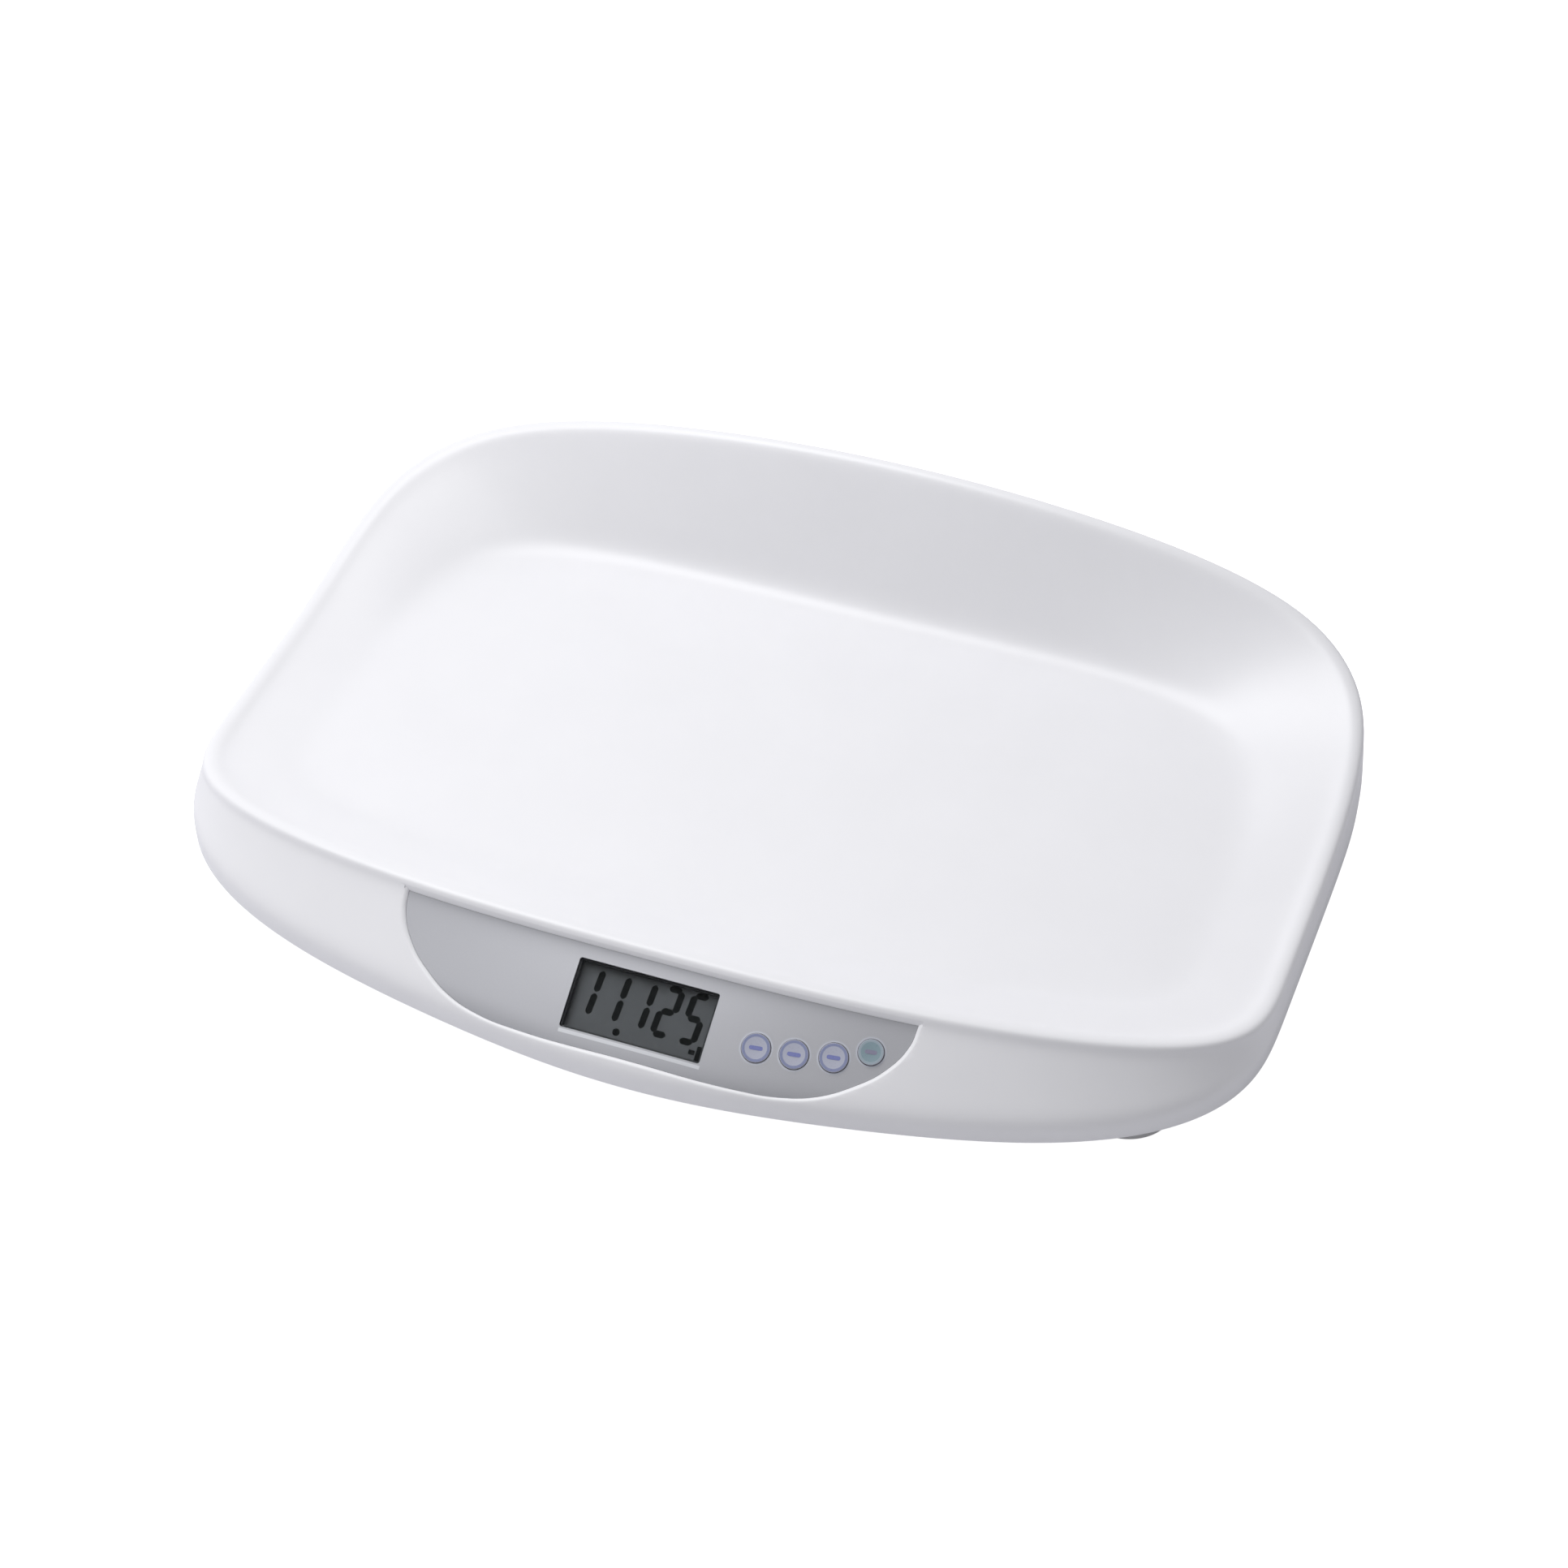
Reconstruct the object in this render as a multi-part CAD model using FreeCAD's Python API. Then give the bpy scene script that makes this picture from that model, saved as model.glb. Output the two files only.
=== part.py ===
import FreeCAD, Part
import math
import os

# Digital baby weighing scale, in millimetres.
# +X runs to the right of someone reading the display, +Y to the high rear wall, +Z up.
# The origin lies on the table, under the middle of the bounding box.

V = FreeCAD.Vector
X, Y, Z = V(1, 0, 0), V(0, 1, 0), V(0, 0, 1)

# ---- tray and skirt, in plan, measured from the plan centre
RIM_HALF_LENGTH = 266.9
RIM_FRONT = 80.2
RIM_REAR = 240.8
RIM_POWERS = (2.45, 8.0)         # how square the oval is, front half and rear half
LIP = 8.6                        # width of the rolled lip
SKIRT_HALF_LENGTH = 276.5
SKIRT_FRONT = 123.6
SKIRT_POWERS = (2.45, 8.0)
SKIRT_BULGE = 10.6               # how far the middle of the front face stands out
SKIRT_BULGE_REACH = 212
CORNER = (228, 34, 207)          # where the walls would meet the floor: half length, front, rear
FLOOR = (205, 14, 186)           # edge of the flat floor
FLOOR_POWERS = (2.3, 5.6)
PLAN_Y = (SKIRT_FRONT + SKIRT_BULGE - RIM_REAR - LIP) / 2

# ---- tray and skirt, heights
SKIRT_Z = 13
BELLY_Z = 24.3
FLOOR_Z = 32
RIM_END_Z = 37.5
RIM_FRONT_Z = 57.5
RIM_FRONT_CORNER_Z = 49.4
RIM_REAR_Z = 102.1
RIM_REAR_ARCH = 41.1             # how much lower the rear rim is towards its corners
RIM_REAR_START = 89.9            # where the end rim starts to climb to the rear
WALL = 3
FASCIA_CROWN = 1.6               # how far the front face bows out between belly and lip
COLUMNS = 48                     # columns of the surface net around the tray
OUTER_RINGS = (0, 0.8, 1.4, 2.4, 4.2, 5.1, 5.8, 6.5, 7.4, 9.4, 11, 12, 13)
INNER_RINGS = (0, 0.9, 1.6, 4.3, 7.2, 9.4, 11.2, 13)
TOOL_DROP = 5                    # how far a cutting solid runs on below the skirt

# ---- display panel, in the display frame
PANEL_CURVE = ((0, -24.2), (56, -23.6), (76, -21.2), (92, -16.2), (105.5, -8), (118.5, 3.8), (126, 17),
               (127.5, 27))     # its lower edge from the middle to the right-hand tip
PANEL_TOP = 60                   # the blank runs on under the lip, which trims it
PANEL_REACH = 14
PANEL_STEP = 0.8                 # how deep the panel lies in the shell
PANEL_THICKNESS = 1.0
PANEL_GAP = 0.15

# ---- display and its stack, in the display frame, depths below the skin
DISPLAY_X = -0.8
DISPLAY_Z = 41.4
WINDOW = (69.6, 33.6)
WINDOW_CORNER = 1.2
WINDOW_FRONT = 2.1               # flat, so that its corners stay just under the curved panel
WINDOW_THICKNESS = 1.3
HOLDER_FRONT = 5.2               # where the holder's plate bears on the collar round the window
HOLDER_RIM = 4.6
VIEW_EDGE = 1.8                  # how much smaller the holder's opening is than the window
COLLAR = 9
GLASS = (72, 38, 2.2)
GLASS_LEDGE = 3                  # contact ledge that the front glass plate leaves free
GLASS_FRONT = 6.8
STRIP = (68, 2.4)
BOARD_FRONT = 12
BOARD = (88, 48, 1.6)
BOARD_BACK = -BOARD_FRONT - BOARD[2]
BOARD_SCREWS = ((-41.3, -20), (41.3, -20), (-41.3, 20), (41.3, 20))
BOARD_HOLE_RADIUS = 1.2
BOSS_RADIUS = 2.5
BOARD_PILOT_RADIUS = 0.9
BOARD_PILOT_DEPTH = 6
CUT_OUT = 5                      # how far the openings are cut beyond the skin
ROUND_PARTS = ((9, 1.6, -12, 0), (2.5, 5.5, 24, -13), (2.5, 5.5, 33, -13))     # radius, height, x and y
SQUARE_PARTS = ((11, 4.6, 3.6, 8, 12), (6.6, 6.2, 2.4, 12, -2))                # sides, height, x and y
BUZZER = (6, 5.4, -33, -9)
SOCKETS = ((-26, 14, 8), (26, 6, 2))     # x, y and number of ways
SOCKET = (6, 6, 1.2)             # depth, height and wall
WAY_PITCH = 2.5

# ---- keys, in the key frame: x, y, radius
KEY_X = 80
KEY_Z = 40
KEYS = {"hold_button": (-22.8, -2.8, 6.8), "zero_button": (-4.9, -2.9, 6.8),
        "unit_button": (13.4, -1.3, 6.8), "power_button": (29.9, 4, 6)}
KEY_GAP = 0.3
KEY_PROUD = 0.3                  # how far a key stands out of the panel
KEY_TRAVEL = 0.5
KEY_EDGE = 0.25
KEY_FLANGE_FRONT = 4.1
KEY_FLANGE = 0.8
KEY_FLANGE_REACH = 1             # how far the flange's sides stand out beyond the cap
SWITCH = 6
SWITCH_HEIGHT = 3.4
PLUNGER = 3
KEY_BOARD_FRONT = 9.4
KEY_BOARD = (-31.5, 40, -13, 14)
KEY_BOARD_SCREWS = ((-28.5, 10.5), (37, -9.5))
BOARD_MOUNTS = (("display", BOARD_FRONT, BOARD_SCREWS), ("keys", KEY_BOARD_FRONT, KEY_BOARD_SCREWS))
BOARD_SCREW = (6.5, 1, 2, 1.3)   # length, shank radius, head radius and head height

# ---- base cover
COVER_Z = 9.5
COVER = 2.5
COVER_INSET = 4.4                # from the skirt's outside to the cover's upstand
UPSTAND = 2
UPSTAND_Z = 16
RIB = 1.6
RIB_Z = 16
RIB_OFFSET = 8                   # from the line of screws, clear of their posts
SCREW_COLUMNS = (-165, 0, 165)
SCREW_ROWS = (-50, 100)
SCREWS = tuple((x, y) for y in SCREW_ROWS for x in SCREW_COLUMNS)
SCREW = (12, 1.5, 3, 2)          # length, shank radius, head radius and head height
SCREW_HOLE_RADIUS = 1.7
POST_Z = COVER_Z + COVER
POST_RADIUS = 4
PILOT_RADIUS = 1.3
PILOT_TOP_Z = 24

# ---- batteries
BATTERY_SPOT = (0, 20)
BATTERY_WELL = (62, 61)
BATTERY_WALL = 1.5
BATTERY_ROOF_Z = 26.9
DOOR = 2
DOOR_GAP = 0.3
HINGE_Z = COVER_Z + DOOR / 2
PIN_RADIUS = 0.8
PIN_LENGTH = 1.5
PIN_GAP = 0.06
PIN_END_GAP = 0.5
LATCH_SLOT = (1, 9, 8)           # width, length and distance from the middle
GRIP = (12, 0.8, 0.4)
GRIP_SPOTS = (3, 5, 7)           # distances from the door's free edge
CELLS = 4
CELL_RADIUS = 7.2
CELL_BODY = 49.3
CELL_PITCH = 14.8
CELL_CENTRE_Z = 19.2
NIPPLE = (2.7, 1.2)              # radius and height
CONTACT = 0.5                    # thickness of the sheet metal
CONTACT_SIDE = 10
LEAF_WIDTH = 8
LEAF_TIP = 0.6                   # half height of the flat that touches the cell

# ---- weighing feet
FOOT_X = 219
FOOT_FRONT = -109
FOOT_REAR = 148
FEET = {"front_left": (-FOOT_X, FOOT_FRONT), "front_right": (FOOT_X, FOOT_FRONT),
        "rear_left": (-FOOT_X, FOOT_REAR), "rear_right": (FOOT_X, FOOT_REAR)}
FOOT_RADIUS = 23
FOOT_WELL = 24.2
FOOT_WELL_WALL = 2
FOOT_TOP_Z = 9
PAD_RADIUS = 20
PAD = 2.4
STEM = 4.5
STEM_ROOM = 1.5
CARRIER_Z = 10.5
CELL_Z = 13
LOAD_CELL = 29.8
CELL_THICKNESS = 2
CELL_BEAM = 6                    # width of the load cell's outer frame
CELL_TONGUE = (9, 15.5)
WELL_ROOF_Z = CELL_Z + CELL_THICKNESS
WELL_ROOF = 4.5
WELL_RELIEF = (20, 1.5)          # room over the load cell's tongue
CARRIER_GAP = 0.3
LUG = (4, 1.3, 11.5, 13)         # snap lugs on the carriers: width, reach, bottom and top


def smooth(t):
    t = min(max(t, 0), 1)
    return t * t * (3 - 2 * t)


def oval(phi, half_length, front, rear, powers):
    """Radius of a squared oval whose front and rear halves have their own depth."""
    behind = math.sin(phi) > 0
    depth, power = (rear, powers[1]) if behind else (front, powers[0])
    total = (abs(math.cos(phi)) / half_length) ** power + (abs(math.sin(phi)) / depth) ** power
    return total ** (-1 / power)


def rim_radius(phi):
    return oval(phi, RIM_HALF_LENGTH, RIM_FRONT, RIM_REAR, RIM_POWERS)


def skirt_radius(phi):
    radius = oval(phi, SKIRT_HALF_LENGTH, SKIRT_FRONT, RIM_REAR + LIP - 1, SKIRT_POWERS)
    x = radius * math.cos(phi)
    if math.sin(phi) < 0 and abs(x) < SKIRT_BULGE_REACH:
        radius += SKIRT_BULGE * math.cos(math.pi / 2 * x / SKIRT_BULGE_REACH) ** 2 * abs(math.sin(phi))
    return radius


def corner_radius(phi):
    return oval(phi, *CORNER, FLOOR_POWERS)


def floor_radius(phi):
    return oval(phi, *FLOOR, FLOOR_POWERS)


def rim_height(phi):
    x = rim_radius(phi) * math.cos(phi)
    y = rim_radius(phi) * math.sin(phi)
    side = (x / RIM_HALF_LENGTH) ** 2
    front = smooth(-y / RIM_FRONT) * (RIM_FRONT_Z - RIM_END_Z + (RIM_FRONT_CORNER_Z - RIM_FRONT_Z) * side)
    climb = smooth((y - RIM_REAR_START) / (RIM_REAR - RIM_REAR_START))
    return RIM_END_Z + front + climb * (RIM_REAR_Z - RIM_END_Z - RIM_REAR_ARCH * side)


def normal_share(phi, radius=rim_radius):
    """Cosine of the angle between the radius and the outward normal of a plan curve."""
    step = 0.001
    slope = (radius(phi + step) - radius(phi - step)) / (2 * step) / radius(phi)
    return 1 / math.sqrt(1 + slope * slope)


def between(a, b, t):
    return (a[0] + (b[0] - a[0]) * t, a[1] + (b[1] - a[1]) * t)


def front_crown(phi):
    return FASCIA_CROWN * max(-math.sin(phi), 0) ** 2


def profile(phi, foot_z):
    """Section from the skirt's foot over the lip to the floor, as (distance out from the rim, height)."""
    share = normal_share(phi)

    def out(radius):
        return (radius(phi) - rim_radius(phi)) * share

    top = rim_height(phi)
    belly = (out(skirt_radius), BELLY_Z)
    lip_edge = (LIP, top - 3.4)
    rim_edge = (0.2, top - 0.6)
    corner = (out(corner_radius), FLOOR_Z)
    floor_edge = (out(floor_radius), FLOOR_Z)
    points = [(belly[0] - 0.4, foot_z), (belly[0] - 0.2, (foot_z + BELLY_Z) / 2), belly]
    for t, crown in ((0.28, 0.8), (0.52, 1), (0.78, 0.7)):
        w, z = between(belly, lip_edge, t)
        points.append((w + crown * front_crown(phi), z))
    points += [lip_edge, (LIP - 0.7, top + 1.2), (1.6, top + 1.2)]
    points += [between(rim_edge, corner, t) for t in (0.06, 0.3, 0.54, 0.78)]
    points += [corner, between(corner, floor_edge, 0.55), floor_edge]
    return points


def inset(points, depth):
    """Moves a section inwards by a depth, keeping its sides parallel."""
    moved = []
    for i, (w, z) in enumerate(points):
        before = points[max(i - 1, 0)]
        after = points[min(i + 1, len(points) - 1)]
        normals = []
        for a, b in ((before, (w, z)), ((w, z), after)):
            length = math.hypot(b[0] - a[0], b[1] - a[1])
            if length > 0:
                normals.append(((a[1] - b[1]) / length, (b[0] - a[0]) / length))
        n0, n1 = normals[0], normals[-1]
        reach = depth / (1 + n0[0] * n1[0] + n0[1] * n1[1])
        moved.append((w + (n0[0] + n1[0]) * reach, z + (n0[1] + n1[1]) * reach))
    return moved


def directions():
    """Polar angles of the net's columns, spread evenly along the rim."""
    mean_depth = (RIM_FRONT + RIM_REAR) / 2
    steps = [2 * math.pi * i / COLUMNS for i in range(COLUMNS)]
    return [math.atan2(mean_depth * math.sin(s), RIM_HALF_LENGTH * math.cos(s)) for s in steps]


def skin_surface(depth, foot_z):
    net = []
    for phi in directions():
        share = normal_share(phi)
        column = []
        for w, z in inset(profile(phi, foot_z), depth):
            radius = rim_radius(phi) + w / share
            column.append(V(radius * math.cos(phi), radius * math.sin(phi) + PLAN_Y, z))
        net.append(column)
    rows = len(net[0])
    surface = Part.BSplineSurface()
    surface.buildFromPolesMultsKnots(
        net, [1] * (COLUMNS + 1), [4] + [1] * (rows - 4) + [4],
        list(range(COLUMNS + 1)), list(range(rows - 2)), True, False, 3, 3)
    return surface


def skin_solid(depth, foot_z=SKIRT_Z - TOOL_DROP, rings=OUTER_RINGS):
    """Everything inside the moulding's outer surface, pulled in by a depth."""
    surface = skin_surface(depth, foot_z)
    edges = [surface.vIso(v).toShape() for v in rings]
    strips = [Part.makeRuledSurface(low, high) for low, high in zip(edges, edges[1:])]
    caps = [Part.Face(Part.Wire([edge])) for edge in (edges[0], edges[-1])]
    shell = Part.Shell(strips + caps)
    shell.sewShape()
    solid = Part.Solid(Part.Shell(shell.Faces))
    if solid.Volume < 0:
        solid.reverse()
    return solid


def front_y(skin, x, z):
    """Y of the front face at a given X and height."""
    line = Part.makeLine(V(x, PLAN_Y - 2 * SKIRT_FRONT, z), V(x, PLAN_Y, z))
    return min(vertex.Y for vertex in skin.common(line).Vertexes)


def face_frame(skin, x, z, step=2):
    """Placement on the front face: its X runs to the right, its Y up the face and its Z out of it."""
    slope_x = (front_y(skin, x + step, z) - front_y(skin, x - step, z)) / (2 * step)
    slope_z = (front_y(skin, x, z + step) - front_y(skin, x, z - step)) / (2 * step)
    out = V(slope_x, -1, slope_z).normalize()
    right = Z.cross(out).normalize()
    up = out.cross(right)
    origin = V(x, front_y(skin, x, z), z)
    return FreeCAD.Placement(FreeCAD.Matrix(
        right.x, up.x, out.x, origin.x,
        right.y, up.y, out.y, origin.y,
        right.z, up.z, out.z, origin.z,
        0, 0, 0, 1))


# ---- small shape helpers: all are built on the table or in a local frame

def cylinder(radius, low, high, x=0, y=0):
    return Part.makeCylinder(radius, high - low, V(x, y, low), Z)


def block(size_x, size_y, low, high, x=0, y=0):
    """Box centred on a point in plan."""
    return Part.makeBox(size_x, size_y, high - low, V(x - size_x / 2, y - size_y / 2, low))


def rounded_block(size_x, size_y, low, high, radius, x=0, y=0):
    box = block(size_x, size_y, low, high, x, y)
    uprights = [e for e in box.Edges if abs(e.tangentAt(e.FirstParameter).z) > 0.9]
    return box.makeFillet(radius, uprights)


def together(shapes):
    """Fuses shapes that touch into one clean solid."""
    return shapes[0].multiFuse(shapes[1:]).removeSplitter() if len(shapes) > 1 else shapes[0]


def group(shapes):
    """Keeps separate solids side by side in one node."""
    return Part.makeCompound([solid for shape in shapes for solid in shape.Solids])


def placed(shape, frame):
    moved = shape.copy()
    moved.Placement = frame.multiply(moved.Placement)
    return moved


# ---- the moulded tray and what is let into its front face

def outline_curve(radius, offset, z):
    """Closed curve that follows the moulding, moved out from one of its plan curves."""
    poles = []
    for phi in directions():
        length = radius(phi) + offset / normal_share(phi)
        poles.append(V(length * math.cos(phi), length * math.sin(phi) + PLAN_Y, z))
    curve = Part.BSplineCurve()
    curve.buildFromPolesMultsKnots(poles, [1] * (COLUMNS + 1), list(range(COLUMNS + 1)), True, 3)
    return curve


def outline_prism(radius, offset, low, high):
    """Upright prism on such a curve."""
    curve = outline_curve(radius, offset, low)
    return Part.Face(Part.Wire([curve.toShape()])).extrude(Z * (high - low))


def arc_prism(radius, offset, low, high):
    """Upright prism on the same outline drawn with arcs, each over two columns of the net."""
    curve = outline_curve(radius, offset, low)
    first = 1     # an odd start, so that no arc ends where the corners bend most
    marks = [curve.value(i % COLUMNS) for i in range(first, first + COLUMNS + 1)]
    arcs = [Part.Arc(*marks[i:i + 3]).toShape() for i in range(0, COLUMNS, 2)]
    return Part.Face(Part.Wire(arcs)).extrude(Z * (high - low))


def panel_prism(frames, grow):
    """Prism of the smile-shaped panel; its upper edge follows the outside of the lip."""
    right = [V(x * (1 + grow / PANEL_CURVE[-1][0]), y - grow, -PANEL_REACH) for x, y in PANEL_CURVE]
    left = [V(-p.x, p.y, p.z) for p in reversed(right[1:])]
    curve = Part.BSplineCurve()
    curve.interpolate(left + right)
    start, end = left[0], right[-1]
    top = V(0, PANEL_TOP - start.y, 0)
    edges = [curve.toShape(), Part.makeLine(end, end + top), Part.makeLine(end + top, start + top),
             Part.makeLine(start + top, start)]
    prism = placed(Part.Face(Part.Wire(edges)).extrude(Z * 2 * PANEL_REACH), frames["display"])
    return prism.cut(outline_prism(rim_radius, LIP - grow, 0, 2 * RIM_REAR_Z))


def face_openings(frames):
    """What is cut out of the front face: the window's opening and the round ones of the keys."""
    grow = 2 * PANEL_GAP
    window = rounded_block(WINDOW[0] + grow, WINDOW[1] + grow, -BOARD_FRONT, CUT_OUT, WINDOW_CORNER)
    keys = [cylinder(radius + KEY_GAP, -KEY_FLANGE_FRONT, CUT_OUT, x, y) for x, y, radius in KEYS.values()]
    return [placed(window, frames["display"]), placed(group(keys), frames["keys"])]


def tray_posts():
    return [cylinder(POST_RADIUS, POST_Z, FLOOR_Z - WALL / 2, x, y) for x, y in SCREWS]


def display_supports(frames):
    """Collar round the window and the bosses that carry the two circuit boards."""
    collar = rounded_block(WINDOW[0] + COLLAR, WINDOW[1] + COLLAR, -HOLDER_FRONT, 0, 2 * WINDOW_CORNER)
    bosses = [cylinder(BOSS_RADIUS, -BOARD_FRONT, 0, x, y) for x, y in BOARD_SCREWS]
    key_bosses = [cylinder(BOSS_RADIUS, -KEY_BOARD_FRONT, 0, x, y) for x, y in KEY_BOARD_SCREWS]
    return [placed(collar, frames["display"])] + [placed(b, frames["display"]) for b in bosses] + [
        placed(b, frames["keys"]) for b in key_bosses]


def pilot_holes(frames):
    """Holes that the screws of the housing and of both boards cut their thread in."""
    holes = [cylinder(PILOT_RADIUS, POST_Z - 1, PILOT_TOP_Z, x, y) for x, y in SCREWS]
    for frame, front, spots in BOARD_MOUNTS:
        for x, y in spots:
            hole = cylinder(BOARD_PILOT_RADIUS, -front - 1, -front + BOARD_PILOT_DEPTH, x, y)
            holes.append(placed(hole, frames[frame]))
    return holes


def tray_shell(frames):
    """One-piece tray and skirt, with the panel's recess, the openings in it and the posts inside."""
    shell = skin_solid(0, SKIRT_Z).cut(skin_solid(WALL, rings=INNER_RINGS))
    inside = skin_solid(WALL - 0.8)
    supports = [s.common(inside) for s in tray_posts() + display_supports(frames)]
    shell = shell.multiFuse(supports)
    recess = panel_prism(frames, PANEL_GAP).cut(skin_solid(PANEL_STEP + PANEL_THICKNESS))
    return shell.cut([recess] + face_openings(frames) + pilot_holes(frames))


def display_panel(frames):
    sheet = skin_solid(PANEL_STEP).cut(skin_solid(PANEL_STEP + PANEL_THICKNESS))
    return panel_prism(frames, 0).common(sheet).cut(face_openings(frames))


# ---- the display and its boards

def display_window(frames):
    """Clear flat cover that lies on the holder's snout."""
    lens = rounded_block(*WINDOW, -WINDOW_FRONT - WINDOW_THICKNESS, -WINDOW_FRONT, WINDOW_CORNER)
    return placed(lens, frames["display"])


def display_holder(frames):
    """Dark frame: its snout fills the window opening, and its plate clamps the glass to the board."""
    snout = rounded_block(*WINDOW, -HOLDER_FRONT, -WINDOW_FRONT - WINDOW_THICKNESS, WINDOW_CORNER)
    plate = block(GLASS[0] + HOLDER_RIM, GLASS[1] + HOLDER_RIM, -BOARD_FRONT, -HOLDER_FRONT)
    view = block(WINDOW[0] - VIEW_EDGE, WINDOW[1] - VIEW_EDGE, -BOARD_FRONT, 0)
    pocket = block(GLASS[0] + DOOR_GAP, GLASS[1] + DOOR_GAP, -BOARD_FRONT, -GLASS_FRONT)
    return placed(together([snout, plate]).cut([view, pocket]), frames["display"])


def display_glass(frames):
    """Two bonded glass plates: the front one is shorter, which leaves a contact ledge at the top."""
    middle = -GLASS_FRONT - GLASS[2] / 2
    front = block(GLASS[0], GLASS[1] - GLASS_LEDGE, middle, -GLASS_FRONT, 0, -GLASS_LEDGE / 2)
    rear = block(GLASS[0], GLASS[1], -GLASS_FRONT - GLASS[2], middle)
    return placed(together([front, rear]), frames["display"])


def contact_strip(frames):
    edge = (GLASS[1] - GLASS_LEDGE) / 2
    return placed(block(*STRIP, -BOARD_FRONT, -GLASS_FRONT - GLASS[2], 0, edge), frames["display"])


def circuit_board(size_x, size_y, x, y, front, screws):
    board = block(size_x, size_y, -front - BOARD[2], -front, x, y)
    return board.cut([cylinder(BOARD_HOLE_RADIUS, -front - BOARD[2], -front, *spot) for spot in screws])


def control_board(frames):
    return placed(circuit_board(BOARD[0], BOARD[1], 0, 0, BOARD_FRONT, BOARD_SCREWS), frames["display"])


def key_board(frames):
    left, right, low, high = KEY_BOARD
    board = circuit_board(right - left, high - low, (left + right) / 2, (low + high) / 2,
                          KEY_BOARD_FRONT, KEY_BOARD_SCREWS)
    return placed(board, frames["keys"])


def key_switches(frames):
    """Square tact switches; a pressed key's flange just reaches the plunger."""
    plunger_top = -KEY_FLANGE_FRONT - KEY_FLANGE - KEY_TRAVEL
    switches = []
    for x, y, _ in KEYS.values():
        body = block(SWITCH, SWITCH, -KEY_BOARD_FRONT, SWITCH_HEIGHT - KEY_BOARD_FRONT, x, y)
        plunger = block(PLUNGER, PLUNGER, SWITCH_HEIGHT - KEY_BOARD_FRONT, plunger_top, x, y)
        switches.append(together([body, plunger]))
    return placed(group(switches), frames["keys"])


def key(frames, x, y, radius):
    """Push key: round cap with a broken edge, and a square flange that keeps it in and stops it turning."""
    face = KEY_PROUD - PANEL_STEP
    cap = cylinder(radius, -KEY_FLANGE_FRONT, face, x, y)
    edge = [e for e in cap.Edges if abs(e.BoundBox.ZMin - face) < 0.01]
    cap = cap.makeChamfer(KEY_EDGE, edge)
    side = 2 * (radius + KEY_FLANGE_REACH)
    flange = block(side, side, -KEY_FLANGE_FRONT - KEY_FLANGE, -KEY_FLANGE_FRONT, x, y)
    return placed(together([cap, flange]), frames["keys"])


def screw(x, y, seat, length, shank, head_radius, head_height):
    """Pan-head screw standing on its head: the head hangs below the seat, the shank points up."""
    head = cylinder(head_radius, seat - head_height, seat, x, y)
    return cylinder(shank, seat, seat + length, x, y).fuse(head)


def board_screws(frames):
    screws = []
    for frame, front, spots in BOARD_MOUNTS:
        for x, y in spots:
            screws.append(placed(screw(x, y, -front - BOARD[2], *BOARD_SCREW), frames[frame]))
    return group(screws)


def round_part(radius, height, x, y):
    return cylinder(radius, BOARD_BACK - height, BOARD_BACK, x, y)


def board_components(frames):
    """Processor under its resin cap, capacitors, crystal and regulator on the back of the board."""
    parts = [round_part(*spot) for spot in ROUND_PARTS]
    for size_x, size_y, height, x, y in SQUARE_PARTS:
        parts.append(block(size_x, size_y, BOARD_BACK - height, BOARD_BACK, x, y))
    return placed(group(parts), frames["display"])


def lead_terminals(frames):
    """Two white sockets on the board: one for the load cell leads, one for the battery leads."""
    depth, height, wall = SOCKET
    sockets = []
    for x, y, ways in SOCKETS:
        length = (ways + 1) * WAY_PITCH
        body = block(length + 2 * wall, depth, BOARD_BACK - height, BOARD_BACK, x, y)
        room = block(length, depth - 2 * wall, BOARD_BACK - height, BOARD_BACK - wall, x, y)
        sockets.append(body.cut(room))
    return placed(group(sockets), frames["display"])


def buzzer(frames):
    return placed(round_part(*BUZZER), frames["display"])


# ---- the base

def battery_well(grow, top):
    """Block of the battery compartment's plan, grown on each side."""
    return block(BATTERY_WELL[0] + 2 * grow, BATTERY_WELL[1] + 2 * grow, COVER_Z, top, *BATTERY_SPOT)


def lugs(x, y, grow):
    """Bar whose two ends are the snap lugs of a carrier; grown, it cuts their slots."""
    width, reach, low, high = LUG
    return block(2 * (FOOT_WELL + reach - CARRIER_GAP + grow), width + 2 * grow, low, high + grow, x, y)


def foot_well_cuts(x, y):
    """Round well under each corner, with room over the load cell's tongue."""
    side, height = WELL_RELIEF
    return [cylinder(FOOT_WELL, COVER_Z, WELL_ROOF_Z, x, y), lugs(x, y, CARRIER_GAP / 3),
            block(side, side, WELL_ROOF_Z, WELL_ROOF_Z + height, x, y)]


def hinge_line():
    """Where the door's hinge axis lies along Y."""
    return BATTERY_SPOT[1] - BATTERY_WELL[1] / 2 + DOOR_GAP + DOOR / 2


def hinge_pin(radius, reach):
    length = BATTERY_WELL[0] + 2 * reach
    return Part.makeCylinder(radius, length, V(BATTERY_SPOT[0] - length / 2, hinge_line(), HINGE_Z), X)


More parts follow.
